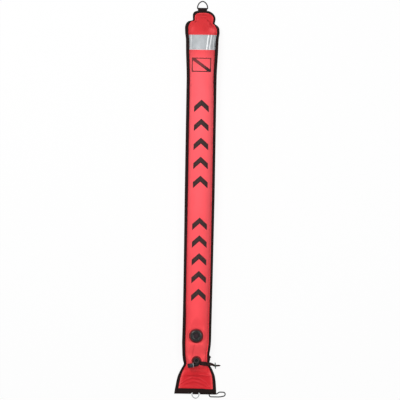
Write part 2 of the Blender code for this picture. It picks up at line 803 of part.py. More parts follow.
def fold(bar, radius, leg_low, leg_high, end_y):
    """Outline in Y-Z of webbing folded round a bar, with both legs running to end_y."""
    bar_y, bar_z = bar
    side = 1 if bar_y > end_y else -1
    outline = [(end_y, leg_low), (end_y, leg_low - WEBBING)]
    turns = [-math.pi / 2 + math.pi * i / 8 for i in range(9)]
    outer = [(bar_y + side * (radius + WEBBING) * math.cos(a), bar_z + (radius + WEBBING) * math.sin(a)) for a in turns]
    inner = [(bar_y + side * radius * math.cos(a), bar_z + radius * math.sin(a)) for a in reversed(turns)]
    return [*outline, *outer, (end_y, leg_high + WEBBING), (end_y, leg_high), *inner]


def stand_plate(obj, x):
    """Turns a plate's outline from its own X-Y plane into the Y-Z plane at this x."""
    obj.matrix_world = Matrix(((0, 0, 1, x), (1, 0, 0, 0), (0, 1, 0, 0), (0, 0, 0, 1)))


def make_rings(build, webbing, steel, black_steel):
    seam = smooth(SEAM_HEIGHT, HEAD_Y)
    grip = SEAM_GAP / 2 + FABRIC + GAP + TAPE + GAP
    radius = HEAD_RING_WIRE / 2 + GAP
    outline = fold((HEAD_RING_BAR_Y, seam), radius, seam - grip, seam + grip, HEAD_TAB_END_Y)
    stand_plate(build.plate("head_tab", outline, HEAD_TAB_WIDTH / 2, webbing), HEAD_RING_X)
    points = d_ring(HEAD_RING_BAR_Y, HEAD_RING_TOP_Y, HEAD_RING_WIDTH, HEAD_RING_WIRE, HEAD_RING_X, seam)
    build.tube("head_ring", points, HEAD_RING_WIRE / 2, black_steel, cyclic=True)

    radius = TAIL_RING_WIRE / 2 + GAP
    bar_z = radius + WEBBING
    inner_face = smooth(UNDERSIDE, BACK_END_Y) + FABRIC
    outline = fold((TAIL_RING_BAR_Y, bar_z), radius, WEBBING, inner_face + GAP, TAIL_TAB_END_Y)
    stand_plate(build.plate("tail_tab", outline, TAIL_TAB_WIDTH / 2, webbing), TAIL_RING_X)
    points = d_ring(TAIL_RING_BAR_Y, TAIL_RING_END_Y, TAIL_RING_WIDTH, TAIL_RING_WIRE, TAIL_RING_X, bar_z)
    build.tube("tail_ring", points, TAIL_RING_WIRE / 2, steel, cyclic=True)


def smooth_route(route, z, step):
    """Points about a step apart on the smooth curve through a route's own points."""
    points = [Vector((*p, z)) for p in route]
    points = [2 * points[0] - points[1], *points, 2 * points[-1] - points[-2]]
    out = [points[1]]
    for p0, p1, p2, p3 in zip(points, points[1:], points[2:], points[3:]):
        parts = max(1, round((p2 - p1).length / step))
        for i in range(1, parts + 1):
            t = i / parts
            a = 2 * p1 + (p2 - p0) * t + (2 * p0 - 5 * p1 + 4 * p2 - p3) * t * t
            out.append((a + (3 * p1 - p0 - 3 * p2 + p3) * t**3) / 2)
    return out


def make_elastic_loop(build, webbing, elastic):
    """The loop's ends are sewn into a strip of tape that lies under the back hem and ends below it."""
    low, high = LOOP_TAPE_X
    step_y = BACK_END_Y - GAP
    outline = [
        (BACK_HEM_TOP_Y, 0),
        (BACK_HEM_TOP_Y, WEBBING),
        (step_y, WEBBING),
        (step_y, LOOP_TAPE_HEIGHT),
        (LOOP_TAPE_END_Y, LOOP_TAPE_HEIGHT),
        (LOOP_TAPE_END_Y, 0),
    ]
    stand_plate(build.plate("loop_tape", outline, (high - low) / 2, webbing), (low + high) / 2)
    points = smooth_route(LOOP_ROUTE, LOOP_CORD * 0.55, LOOP_CORD * 2)
    build.tube("elastic_loop", points, LOOP_CORD / 2, elastic)


def helix(radii, low, high, turns, steps=10):
    """A spring's centre line, with its radius going from the first to the last of radii as it climbs."""
    count = round(turns * steps)
    out = []
    for i in range(count + 1):
        share = i / count
        radius = radii[0] + (radii[1] - radii[0]) * share
        turn = 2 * math.pi * turns * share
        out.append((radius * math.cos(turn), radius * math.sin(turn), low + (high - low) * share))
    return out


def new_axis(build, name, matrix, parent=None):
    """An empty whose Z axis pieces turn about or slide along."""
    axis = bpy.data.objects.new(name, None)
    axis.matrix_world = matrix
    build.parts.objects.link(axis)
    axis.parent = parent
    return axis


def pointing(place, direction):
    """A matrix that puts the local Z axis at a place, along a direction."""
    return Matrix.Translation(place) @ direction.to_track_quat("Z", "Y").to_matrix().to_4x4()


def make_valve(build, mats):
    """Over-pressure valve: the poppet lifts off its seat when the bag is too full, or when its knob is pulled."""
    place = Matrix.Translation((VALVE_X, VALVE_Y, VALVE_LANDING_Z))
    axis = new_axis(build, "valve_axis", place)
    neck = VALVE_NECK / 2
    bore = VALVE_BORE / 2
    flange_top = -FABRIC - GAP
    floor = flange_top - FLANGE_THICKNESS
    guide = POPPET_STEM / 2 + GAP
    base = build.turned(
        "valve_base",
        [
            (bore, VALVE_SEAT),
            (neck, VALVE_SEAT),
            (neck, flange_top),
            (VALVE_FLANGE / 2, flange_top),
            (VALVE_FLANGE / 2, floor),
            (guide, floor),
            (guide, floor + FLANGE_THICKNESS),
            (bore, floor + FLANGE_THICKNESS),
        ],
        mats["plastic"],
        axis,
    )
    for i, at in enumerate(around(BASE_HOLES, (bore + guide) / 2)):
        hole = build.cylinder(
            f"base_hole_{i}", BASE_HOLE / 2, floor - MM, flange_top + MM, at, axis, HOLE_STEPS
        )
        cut(base, hole)

    seal_low = VALVE_SEAT + GAP
    plate_low = seal_low + SEAL_THICKNESS + GAP
    plate_top = plate_low + POPPET_THICKNESS
    spring_low = plate_top + GAP
    spring_top = spring_low + VALVE_SPRING_PRESSED + VALVE_TRAVEL
    roof = spring_top + GAP
    dish = roof + CAP_WALL
    cap_top = dish + CAP_DISH
    cap_low = GAP + PATCH_THICKNESS + GAP
    outer = VALVE_DIAMETER / 2
    knob_hole = KNOB_SHANK / 2 + KNOB_CLEARANCE
    cap = build.turned(
        "valve_cap",
        [
            (knob_hole, dish),
            (knob_hole + 6 * MM, dish),
            (outer - 8 * MM, cap_top),
            (outer - 3 * MM, cap_top),
            (outer, cap_top - 4 * MM),
            (outer, cap_low),
            (neck + GAP, cap_low),
            (neck + GAP, VALVE_SEAT),
            (CAP_CAVITY / 2, VALVE_SEAT + 1 * MM),
            (CAP_CAVITY / 2, roof),
            (knob_hole, roof),
        ],
        mats["plastic"],
        axis,
        steps=36,
    )
    for i, at in enumerate(around(CAP_NOTCHES, outer + CAP_NOTCH * 0.2)):
        notch = build.cylinder(
            f"cap_notch_{i}", CAP_NOTCH / 2, cap_low - MM, cap_top + MM, at, axis, HOLE_STEPS
        )
        cut(cap, notch)
    for i, at in enumerate(around(CAP_VENTS, (knob_hole + outer) / 2 - 1 * MM, math.pi / CAP_VENTS)):
        vent = build.cylinder(f"cap_vent_{i}", CAP_VENT / 2, roof - MM, cap_top + MM, at, axis, HOLE_STEPS)
        cut(cap, vent)

    build.turned(
        "valve_seal",
        ring_of((guide, POPPET_DIAMETER / 2 + 1 * MM, seal_low, seal_low + SEAL_THICKNESS)),
        mats["rubber"],
        axis,
    )
    knob_low = cap_top + 0.5 * MM
    knob_top = knob_low + KNOB_HEIGHT
    socket_top = knob_low - 1 * MM
    upper = POPPET_STEM / 2 + 1 * MM
    build.turned(
        "valve_poppet",
        [
            (0, socket_top - GAP),
            (upper, socket_top - GAP),
            (upper, plate_top),
            (POPPET_DIAMETER / 2, plate_top),
            (POPPET_DIAMETER / 2, plate_low),
            (POPPET_STEM / 2, plate_low),
            (POPPET_STEM / 2, floor - VALVE_TRAVEL),
            (0, floor - VALVE_TRAVEL),
        ],
        mats["plastic"],
        axis,
        closed=False,
    )
    shank_low = roof - 1.5 * MM
    build.turned(
        "valve_knob",
        [
            (0, knob_top),
            (KNOB_DIAMETER / 2 - 3 * MM, knob_top),
            (KNOB_DIAMETER / 2, knob_top - 2 * MM),
            (KNOB_DIAMETER / 2, knob_low),
            (KNOB_SHANK / 2, knob_low),
            (KNOB_SHANK / 2, shank_low),
            (upper + GAP, shank_low),
            (upper + GAP, socket_top),
            (0, socket_top),
        ],
        mats["plastic"],
        axis,
        closed=False,
    )
    wire = SPRING_WIRE / 2
    coil = helix(VALVE_SPRING_RADII, spring_low + wire, spring_top - wire, VALVE_SPRING_TURNS)
    spring = build.tube("valve_spring", coil, wire, mats["steel"], resolution=1)
    spring.parent = axis


def make_inflator_body(build, mats):
    """Oral inflator: a banjo elbow on a welded neck. Returns the axis of its outlet."""
    place = Matrix.Translation((0, INFLATOR_Y, INFLATOR_LANDING_Z))
    axis = new_axis(build, "inflator_axis", place)
    neck = INFLATOR_NECK / 2
    bore = INFLATOR_BORE / 2
    flange_top = -FABRIC - GAP
    floor = flange_top - FLANGE_THICKNESS
    build.turned(
        "inflator_base",
        [
            (bore, INFLATOR_NECK_TOP),
            (neck, INFLATOR_NECK_TOP),
            (neck, flange_top),
            (INFLATOR_FLANGE / 2, flange_top),
            (INFLATOR_FLANGE / 2, floor),
            (bore, floor),
        ],
        mats["plastic"],
        axis,
    )
    seal_low = INFLATOR_NECK_TOP + GAP
    seal_top = seal_low + SEAL_THICKNESS
    build.turned(
        "inflator_seal",
        ring_of((bore + 0.5 * MM, neck - 0.2 * MM, seal_low, seal_top)),
        mats["rubber"],
        axis,
    )
    hub_low = 4 * GAP + PATCH_THICKNESS + STRAP_THICKNESS
    hub_top = hub_low + HUB_HEIGHT
    head_low = hub_top + GAP
    head_top = head_low + NUT_HEAD
    nut = build.turned(
        "inflator_nut",
        [
            (0, head_top - NUT_SOCKET_DEPTH),
            (NUT_SOCKET / 2, head_top - NUT_SOCKET_DEPTH),
            (NUT_SOCKET / 2, head_top - NUT_DISH_DEPTH),
            (NUT_DISH / 2, head_top - NUT_DISH_DEPTH),
            (NUT_DISH / 2, head_top),
            (NUT_DIAMETER / 2 - 1 * MM, head_top),
            (NUT_DIAMETER / 2, head_top - 1 * MM),
            (NUT_DIAMETER / 2, head_low),
            (NUT_SHANK / 2, head_low),
            (NUT_SHANK / 2, floor + 1 * MM),
            (NUT_BORE / 2, floor + 1 * MM),
            (NUT_BORE / 2, hub_top - 6 * MM),
            (0, hub_top - 6 * MM),
        ],
        mats["nut"],
        axis,
        closed=False,
    )
    elbow = build.turned(
        "inflator_elbow",
        [(0, hub_top), (HUB_DIAMETER / 2, hub_top), (HUB_DIAMETER / 2, hub_low), (0, hub_low)],
        mats["plastic"],
        axis,
        closed=False,
    )

    # The arm leaves the hub sideways, turns, and carries the mouthpiece
    start = Vector((0, 0, (hub_low + hub_top) / 2))
    bend = Vector((ARM_BEND_X, ARM_BEND_Y - INFLATOR_Y, start.z))
    reach = (bend - start).length
    root = new_axis(build, "arm_axis", pointing(start, bend - start), axis)
    outward = Vector((math.cos(OUTLET_ANGLE), math.sin(OUTLET_ANGLE), 0))
    outlet = new_axis(build, "outlet_axis", pointing(bend, outward), axis)
    arm = ARM_DIAMETER / 2
    spout = [
        (0, OUTLET_END),
        (OUTLET_DIAMETER / 2, OUTLET_END),
        (OUTLET_DIAMETER / 2, ARM_END),
        (arm - 0.1 * MM, ARM_END),
        (arm - 0.1 * MM, 0),
        (0, 0),
    ]
    join(
        elbow,
        build.cylinder("arm_root", arm - 0.2 * MM, 1 * MM, reach, parent=root),
        build.ball("arm_knee", arm, outlet),
        build.turned("arm_spout", spout, None, outlet, closed=False, cutter=True),
    )
    port = ARM_BORE / 2
    cut(
        elbow,
        build.cylinder("hub_bore", NUT_SHANK / 2 + GAP, hub_low - MM, hub_top + MM, parent=axis),
        build.cylinder("hub_seat", neck + GAP, hub_low - MM, seal_top + GAP, parent=axis),
        build.cylinder("root_bore", port, 2 * MM, reach + port / 2, parent=root),
        build.cylinder("knee_bore", port - 0.1 * MM, -port / 2, CHAMBER_START + MM, parent=outlet),
        build.cylinder("chamber", CHAMBER_BORE / 2, CHAMBER_START, SEAT_START, parent=outlet),
        build.cylinder("seat_bore", SEAT_BORE / 2, SEAT_START - MM, OUTLET_END + MM, parent=outlet),
        build.cylinder(
            "spout_bore", CHAMBER_BORE / 2, SEAT_START + SEAT_THICKNESS, OUTLET_END + MM, parent=outlet
        ),
    )
    cut(nut, build.cylinder("nut_port", NUT_BORE / 3, 0, NUT_SHANK, parent=root))
    return outlet


def make_mouthpiece(build, mats, outlet):
    """Lock ring, sliding mouthpiece and the spring-loaded plunger that the mouthpiece pushes off its seat."""
    sleeve = OUTLET_DIAMETER / 2 + GAP
    ring_low = ARM_END + GAP
    ring_top = ring_low + LOCK_RING_WIDTH
    lock_ring = build.turned(
        "inflator_lock_ring",
        ring_of((sleeve, LOCK_RING_DIAMETER / 2, ring_low, ring_top)),
        mats["ring"],
        outlet,
    )
    for i, at in enumerate(around(LOCK_RING_GRIPS, LOCK_RING_DIAMETER / 2 + 0.6 * MM, math.pi / 14)):
        grip = build.cylinder(
            f"ring_grip_{i}", LOCK_RING_GRIP / 2, ring_low - MM, ring_top + MM, at, outlet, HOLE_STEPS
        )
        cut(lock_ring, grip)

    mouth_low = ring_top + GAP + MOUTHPIECE_TRAVEL
    mouth_end = mouth_low + MOUTHPIECE_LENGTH
    web_low = OUTLET_END + GAP + MOUTHPIECE_TRAVEL
    web_top = web_low + SPIDER_THICKNESS
    stem = PLUNGER_STEM / 2
    body = MOUTHPIECE_DIAMETER / 2 - MOUTHPIECE_RIB
    pitch = (MOUTHPIECE_LENGTH - MOUTHPIECE_LIP) / MOUTHPIECE_RIBS
    ribs = []
    for i in reversed(range(MOUTHPIECE_RIBS)):
        foot = mouth_low + pitch * i
        ribs += [
            (body, foot + pitch),
            (body + MOUTHPIECE_RIB, foot + 0.75 * pitch),
            (body + MOUTHPIECE_RIB, foot + 0.35 * pitch),
            (body, foot + 0.1 * pitch),
        ]
    mouthpiece = build.turned(
        "inflator_mouthpiece",
        [
            (MOUTHPIECE_BORE / 2, mouth_end),
            (body - 1 * MM, mouth_end),
            (body, mouth_end - 1 * MM),
            *ribs,
            (body, mouth_low),
            (sleeve, mouth_low),
            (sleeve, web_low),
            (stem + GAP, web_low),
            (stem + GAP, web_top),
            (MOUTHPIECE_BORE / 2, web_top),
        ],
        mats["mouthpiece"],
        outlet,
    )
    for i, at in enumerate(around(SPIDER_HOLES, (MOUTHPIECE_BORE / 2 + stem) / 2 + 0.2 * MM)):
        hole = build.cylinder(
            f"spider_hole_{i}", SPIDER_HOLE / 2, web_low - MM, web_top + MM, at, outlet, HOLE_STEPS
        )
        cut(mouthpiece, hole)

    seal_top = SEAT_START - GAP
    seal_low = seal_top - PLUNGER_SEAL
    disc_top = seal_low - 0.1 * MM
    disc_low = disc_top - PLUNGER_THICKNESS
    build.turned(
        "plunger_seal",
        ring_of((stem + GAP, PLUNGER_DISC / 2 + 0.2 * MM, seal_low, seal_top)),
        mats["rubber"],
        outlet,
        steps=SMALL_STEPS,
    )
    build.turned(
        "inflator_plunger",
        [
            (0, web_top),
            (stem, web_top),
            (stem, disc_top),
            (PLUNGER_DISC / 2, disc_top),
            (PLUNGER_DISC / 2, disc_low),
            (0, disc_low),
        ],
        mats["plastic"],
        outlet,
        closed=False,
        steps=SMALL_STEPS,
    )
    wire = SPRING_WIRE / 2
    radii = (PLUNGER_SPRING_RADIUS, PLUNGER_SPRING_RADIUS)
    pressed_top = disc_low - MOUTHPIECE_TRAVEL - GAP
    coil = helix(radii, CHAMBER_START + GAP + wire, pressed_top - wire, PLUNGER_SPRING_TURNS)
    spring = build.tube("inflator_spring", coil, wire, mats["steel"], resolution=1)
    spring.parent = outlet


def strap_line(rows):
    """(x, y, z, half-width, half-thickness) along the strap, from inside its eye to its tip."""
    lift = 2 * GAP + PATCH_THICKNESS + STRAP_THICKNESS / 2
    half = STRAP_WIDTH / 2
    thick = STRAP_THICKNESS / 2
    tail = STRAP_TAIL / 2
    start_z = INFLATOR_LANDING_Z + lift
    line = [(10.4 * MM, -734.7 * MM, start_z, half - 2 * MM, thick)]
    for x, y, width in ((21, -739, half), (32, -741.3, half), (41, -742.5, half), (49, -743.4, half)):
        under = max(
            height_over(rows, x * MM + dx * MM, (y + dy) * MM) for dx in (-4, 0, 4, 9) for dy in (-9, 0, 9)
        )
        line.append((x * MM, y * MM, min(start_z, under + lift), width, thick))
    over_tape = smooth(SEAM_HEIGHT, -737 * MM) + SEAM_GAP / 2 + FABRIC + TAPE + 2 * GAP
    line.append((56 * MM, -744 * MM, over_tape + thick, half - 1 * MM, thick))
    line.append((64 * MM, -744.2 * MM, over_tape + 1.5 * thick, half - 2 * MM, thick * 1.2))
    line.append((73 * MM, -746 * MM, (line[-1][2] + TOGGLE_Z) / 2, half - 4 * MM, thick * 1.6))
    line.append((TOGGLE_X - 7 * MM, TOGGLE_Y + 0.6 * MM, TOGGLE_Z + 0.8 * MM, tail, tail * 0.9))
    line.append((TOGGLE_X, TOGGLE_Y, TOGGLE_Z, tail * 0.85, tail * 0.85))
    line.append((TOGGLE_X + 7 * MM, TOGGLE_Y + 0.2 * MM, TOGGLE_Z - 1.5 * MM, tail * 0.85, tail * 0.8))
    line.append((TOGGLE_X + 17 * MM, TOGGLE_Y + 0.5 * MM, TOGGLE_Z - 5 * MM, STRAP_TIP * 0.7, STRAP_TIP * 0.6))
    line.append((TOGGLE_X + 23 * MM, TOGGLE_Y + 0.5 * MM, TOGGLE_Z - 8 * MM, STRAP_TIP * 0.35, STRAP_TIP * 0.35))
    return line


def make_strap(build, rows, rubber, toggle_plastic):
    """A rubber strap round the inflator's neck; its tail passes through a toggle that the elastic loop hooks over."""
    eye_low = 2 * GAP + PATCH_THICKNESS
    ring = ring_of((INFLATOR_NECK / 2 + GAP, STRAP_EYE / 2, eye_low, eye_low + STRAP_THICKNESS))
    strap = build.turned("closing_strap", ring, rubber)
    strap.location = (0, INFLATOR_Y, INFLATOR_LANDING_Z)
    line = strap_line(rows)
    rings = []
    for i, (x, y, z, half, thick) in enumerate(line):
        before, after = line[max(i - 1, 0)], line[min(i + 1, len(line) - 1)]
        along = (Vector(after[:3]) - Vector(before[:3])).normalized()
        across = Vector((0, 0, 1)).cross(along).normalized()
        up = along.cross(across)
        ring = [
            Vector((x, y, z)) + across * half * 1.08 * math.cos(a) + up * thick * 1.08 * math.sin(a)
            for a in [math.pi / 8 + math.pi / 4 * k for k in range(8)]
        ]
        rings.append(ring)
    join(strap, build.loft("strap_ribbon", rings, cutter=True))

    slim, boss = TOGGLE_DIAMETER / 2, TOGGLE_BOSS / 2
    half = TOGGLE_LENGTH / 2
    profile = [(slim - 1 * MM, half), (slim, half - 1 * MM), (slim, boss + 1 * MM), (boss, boss - 1 * MM)]
    place = Vector((TOGGLE_X, TOGGLE_Y, TOGGLE_Z))
    toggle = build.turned(
        "toggle_bar",
        [(0, half), *profile, *[(r, -z) for r, z in reversed(profile)], (0, -half)],
        toggle_plastic,
        closed=False,
        steps=SMALL_STEPS,
    )
    toggle.matrix_world = pointing(place, Vector(TOGGLE_LIES_ALONG))
    hole = build.cylinder("toggle_hole", STRAP_TAIL / 2 + TOGGLE_CLEARANCE, -TOGGLE_BOSS, TOGGLE_BOSS)
    hole.matrix_world = pointing(place, Vector(line[-3][:3]) - Vector(line[-5][:3]))
    cut(toggle, hole)


def shade_smooth():
    for obj in bpy.data.objects:
        if obj.type == "MESH":
            obj.data.shade_smooth()
            obj.data.set_sharp_from_angle(angle=math.radians(35))


def main():
    clear_scene()
    build = Builder()
    fabric = material("coated nylon, signal red", (0.86, 0.06, 0.07), 0.45)
    webbing = material("polyester webbing, black", (0.012, 0.011, 0.012), 0.8)
    reflective = material("retroreflective tape, silver", (0.55, 0.56, 0.58), 0.35)
    film = material("polyurethane film, red", (0.6, 0.05, 0.06), 0.4)
    steel = material("stainless steel", (0.6, 0.6, 0.6), 0.25, 1)
    black_steel = material("steel, black coated", (0.03, 0.03, 0.032), 0.35, 1)
    elastic = material("elastic cord, dark grey", (0.05, 0.05, 0.055), 0.75)
    rubber = material("rubber, black", (0.015, 0.015, 0.015), 0.6)
    mats = {
        "plastic": material("glass-filled nylon, black", (0.015, 0.015, 0.016), 0.4),
        "nut": material("glass-filled nylon, grey brown", (0.09, 0.075, 0.07), 0.4),
        "ring": material("acetal, light grey", (0.35, 0.36, 0.36), 0.4),
        "mouthpiece": material("silicone rubber, dark teal", (0.03, 0.045, 0.05), 0.5),
        "rubber": rubber,
        "steel": steel,
    }
    rows = panel_rows()
    make_panels(build, rows, fabric)
    make_patches(build, rows, material("coated nylon, dark red", (0.35, 0.02, 0.025), 0.5))
    make_edge_binding(build, webbing)
    make_hem(build, "front_hem_tape", True, FRONT_HEM_TOP_Y, FRONT_END_Y, webbing)
    make_hem(build, "back_hem_tape", False, BACK_HEM_TOP_Y, BACK_END_Y, webbing)
    make_reflective_band(build, rows, reflective)
    make_baffles(build, film)
    make_rings(build, webbing, steel, black_steel)
    make_elastic_loop(build, webbing, elastic)
    make_valve(build, mats)
    make_mouthpiece(build, mats, make_inflator_body(build, mats))
    make_strap(build, rows, rubber, material("acetal, grey green", (0.1, 0.13, 0.11), 0.4))
    shade_smooth()


main()
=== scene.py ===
"""Surface marker buoy, inflated and lying on its back, dressed over its solid frame.

The head points along +Y, the mouth along -Y and the front face looks up along +Z. Sizes are in metres.
"""

import math

import bpy
import numpy as np
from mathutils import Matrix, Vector


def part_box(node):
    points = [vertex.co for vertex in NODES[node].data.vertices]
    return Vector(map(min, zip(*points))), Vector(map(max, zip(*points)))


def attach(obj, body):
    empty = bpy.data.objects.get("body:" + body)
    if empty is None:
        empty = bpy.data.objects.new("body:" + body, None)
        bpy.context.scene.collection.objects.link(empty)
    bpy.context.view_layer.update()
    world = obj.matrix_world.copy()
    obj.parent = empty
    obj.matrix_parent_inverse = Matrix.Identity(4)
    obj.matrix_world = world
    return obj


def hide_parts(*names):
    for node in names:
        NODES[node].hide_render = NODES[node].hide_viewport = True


bl_info = {
    "name": "Surface Marker Buoy",
    "version": (1, 0, 0),
    "blender": (4, 5, 0),
    "location": "View3D > Sidebar > Buoy",
    "description": "Builds an inflated marker buoy with its tapes, valve, inflator, rings and cord",
    "category": "Add Mesh",
}

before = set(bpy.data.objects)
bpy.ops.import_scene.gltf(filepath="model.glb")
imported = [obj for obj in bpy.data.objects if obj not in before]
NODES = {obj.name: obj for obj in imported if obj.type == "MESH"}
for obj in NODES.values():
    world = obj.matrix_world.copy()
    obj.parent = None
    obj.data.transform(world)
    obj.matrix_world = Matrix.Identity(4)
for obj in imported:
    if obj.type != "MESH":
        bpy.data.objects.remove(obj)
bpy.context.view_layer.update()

MM = 0.001
GAP = 0.3 * MM  # between pieces that touch
SEAM_GAP = GAP  # between the two panels in their sewn margin
FOLD_GAP = 0.7 * MM  # from the panels' cut edges to the fold of the edge tape

# Places along the buoy in millimetres, which the knots below start from
HEAD, CORNER, BAND_TOP, BAND_BOTTOM, BACK_END = 854.6, 30.5, 748.3, 678.1, -874.5
HEM_START = BACK_END + 20

# The mouth, the band and the head
BACK_END_Y = BACK_END * MM
FRONT_END_Y = BACK_END_Y + 3.6 * MM
FRONT_HEM_TOP_Y = FRONT_END_Y + 14.8 * MM
BACK_HEM_TOP_Y = BACK_END_Y + 17 * MM
HEM_START_Y = HEM_START * MM
BAND_BOTTOM_Y = BAND_BOTTOM * MM
BAND_TOP_Y = BAND_TOP * MM
RIDGE_Y = 713 * MM  # where the band's ridges are measured from
HEAD_Y = HEAD * MM
HEAD_CORNER = CORNER * MM
TAPE_EASE_LENGTH = 16 * MM  # over which the edge tape narrows towards the lobe
HEAD_WIRE, TAIL_WIRE = 5 * MM, 4 * MM  # thickness of the two rings


def metres(*rows):
    """Rows of millimetres as an array in metres."""
    return np.array(rows) * MM


# Half the outline's width along Y
HALF_WIDTH = metres(
    (BACK_END, 94.5), (-850, 91.8), (-800, 83.9), (-782, 77), (-764, 68.5), (-741, 57.5), (-728, 60),
    (-697, 60.9), (-680, 62.6), (-640, 65.1), (-560, 64.9), (-275, 65.9), (90, 67.4), (540, 67.4),
    (BAND_BOTTOM, 72.4), (BAND_TOP - 25, 73.5), (BAND_TOP - 8, 75.4), (BAND_TOP + 4.7, 77.4),
    (HEAD - 80.6, 77.6), (HEAD - 69.6, 75.5), (HEAD - 57.6, 67.2), (HEAD - 48.6, 49.2), (HEAD - CORNER, 51),
)
# Height of the sewn edge above the floor
SEAM_HEIGHT = metres(
    (HEM_START, 4.5), (-830, 6.5), (-805, 9.5), (-785, 13.5), (-765, 19), (-735, 28), (-700, 36),
    (-650, 42), (-600, 44), (600, 44), (BAND_BOTTOM, 42), (713, 38), (BAND_TOP, 31), (HEAD - 68.6, 18),
    (HEAD - 54.6, 13), (HEAD - 29.6, 6.5), (HEAD - 12.6, 4.3),
)
# How far the front panel swells above the sewn edge
FRONT_SWELL = metres(
    (HEM_START, 2), (-830, 6), (-805, 10), (-785, 14), (-765, 21), (-750, 32), (-706, 34), (-650, 44),
    (-600, 46), (600, 46), (BAND_BOTTOM, 43.5), (BAND_TOP, 38), (HEAD - 68.6, 29), (HEAD - 46.1, 19),
    (HEAD - 29.6, 10), (HEAD - 9.5, 0),
)
# Lowest level of the back panel
UNDERSIDE = metres(
    (HEM_START, 2.8), (-830, 1.5), (-805, 0), (HEAD - 54.6, 0), (HEAD - 29.6, 1.5), (HEAD - 12.6, 3.35),
)
# Sideways shift of the slightly crooked buoy
SIDE_SHIFT = metres(
    (BACK_END, -3.2), (-850, -1.8), (-800, 0.4), (-764, 1.5), (-741, 0.6), (-697, -3.1), (-675, -2),
    (-614, -0.6), (-275, 1.5), (90, 2.2), (BAND_TOP + 4.7, 2.4), (HEAD - 79.6, 1.4), (HEAD - 57.6, 4.2),
    (HEAD - 46.6, 8.1), (HEAD - 32.6, 9.4), (HEAD - 24.6, 8.8), (HEAD - 14.6, 5.8), (HEAD - 8.6, 3.6),
    (HEAD, 1.5),
)
# Ridges of the reflective band: x in mm at its middle, lean, depth, width in mm
BAND_RIDGES = (
    (26, 0.115, 0.85, 2.6), (20.5, 0.115, -0.6, 2.2), (39.5, 0.146, 0.75, 2.2), (45, 0.146, -0.5, 2.2),
    (54, 0.05, 0.4, 1.6), (-48, 0.02, 0.4, 2.4), (8, 0.0, 0.12, 9.0),
)
# How much narrower the edge tape's upper leg is at the right and at the left
TRIM_RIGHT = metres(
    (-852, 0), (-830, 0.6), (-765, 2.3), (-735, 2.6), (-700, 4.2), (-650, 4), (-600, 3.2), (-363, 3.3),
    (0, 2), (450, 1.9), (545, 0.3), (690, 0), (738, 2), (775, 3), (800, 0),
)
TRIM_LEFT = metres(
    (-850, 0), (-800, 1), (-765, 3.2), (-745, 2.4), (-725, 0.4), (-560, 0), (-454, 1.6), (-363, 1.6),
    (100, 0),
)
SHOULDER_SKEW = 0.165  # the left shoulder sits higher than the right one
SKEW_Y = HEAD_Y - 51.6 * MM
SKEW_REACH = 47 * MM
ARCH_INSET = 0.8 * MM  # from the edge tape to where the cloth begins to arch
MOUTH_STRETCH = 4.8 * MM  # how much lower the limp mouth's hem hangs
TAIL_TAB_X = -2 * MM
BACK_PRESS = 1.10  # how much deeper the back would hang if the floor didn't press it flat

# The valve and the inflator stand on flat places of the front panel
VALVE = (-3 * MM, -615.6 * MM, 78.5 * MM)
VALVE_REACH = 28 * MM  # of the flat place, along the buoy
INFLATOR = (0.0, -728.8 * MM, 52 * MM)
INFLATOR_REACH = 20 * MM
FLANGE_TOP = 53 * MM

# The elastic loop's route, the same as in the part's source
LOOP_ROUTE = metres(
    (60, -881.2), (60, -882), (60.7, -885.4), (62.6, -888.4), (65.5, -890.3), (69, -891), (78.5, -891.1),
    (88.5, -891.1), (100.5, -891.1), (112, -890.1), (123, -887.7), (127.6, -886.5), (131, -883.1),
    (132.2, -878.5), (131, -873.9), (127.6, -870.5), (123, -869.3), (109, -869.2), (103.6, -870.4),
    (99.1, -873.7), (94.7, -876.9), (89.3, -878.1), (86.3, -878.1),
)


def linear(code):
    """Linear RGB of an sRGB hex colour."""
    share = np.array([int(code[i : i + 2], 16) for i in (0, 2, 4)]) / 255
    return tuple(np.where(share <= 0.04045, share / 12.92, ((share + 0.055) / 1.055) ** 2.4))


def colour_property(name, description, code):
    return bpy.props.FloatVectorProperty(
        name=name, description=description, subtype="COLOR", size=3, min=0, max=1, default=linear(code)
    )


def number_property(name, description, default, **limits):
    return bpy.props.FloatProperty(name=name, description=description, default=default, **limits)


def length_property(name, description, default, most=0.1):
    return number_property(name, description, default, min=0, max=most, unit="LENGTH", precision=4)


class BuoyClothSettings(bpy.types.PropertyGroup):
    """Sizes and colours of the bag's cloth and what is printed or sewn on it"""

    fabric: length_property("Fabric", "Thickness of the coated nylon", 0.8 * MM)
    row_step: length_property("Row step", "Distance between the rows of points at both ends", 2.2 * MM)
    columns: bpy.props.IntProperty(name="Columns", description="Points across a panel", default=88, min=16)
    pucker: length_property("Puckers", "Depth of the small puckers along the seams", 0.9 * MM)
    crease: length_property("Creases", "Depth of the larger creases", 1.6 * MM)
    thread_pitch: length_property("Thread spacing", "Spacing of the nylon's threads as drawn", 1.6 * MM)
    red: colour_property("Nylon", "Colour of the coated nylon", "EC3137")
    # painted sheen: the stretched body's paler red stands for the light that its satin film reflects
    sheen_red: colour_property("Nylon, taut", "Colour of the nylon where the gas stretches it", "FB6068")
    # painted shade: a darker red where the head slopes away from the light
    shaded_crown_red: colour_property("Nylon at the head", "Colour of the nylon in the slack head", "CE3035")
    # painted light: a paler red between the valve and the inflator
    lit_waist_red: colour_property("Nylon at the waist", "Colour of the nylon between the valve and the inflator", "FE5358")
    # painted shade: a duller, darker red at the mouth
    shaded_mouth_red: colour_property("Nylon at the mouth", "Colour of the nylon at the mouth, duller from handling", "D2212A")
    # painted highlight: the paler red on raised folds, along the tapes and on the shoulders
    highlight_red: colour_property("Nylon, rubbed", "Colour of the nylon on folds that are rubbed pale", "F4565A")
    patch_red: colour_property("Patches", "Colour of the welded patches", "6E1416")
    band_thickness: length_property("Band", "Thickness of the reflective band", 0.4 * MM)
    silver: colour_property("Reflective band", "Colour of the retroreflective tape", "A3A7AA")
    ink: colour_property("Print", "Colour of the printed marks", "2A1C1B")
    film: colour_property("Baffles", "Colour of the film baffles in the mouth", "C8343A")


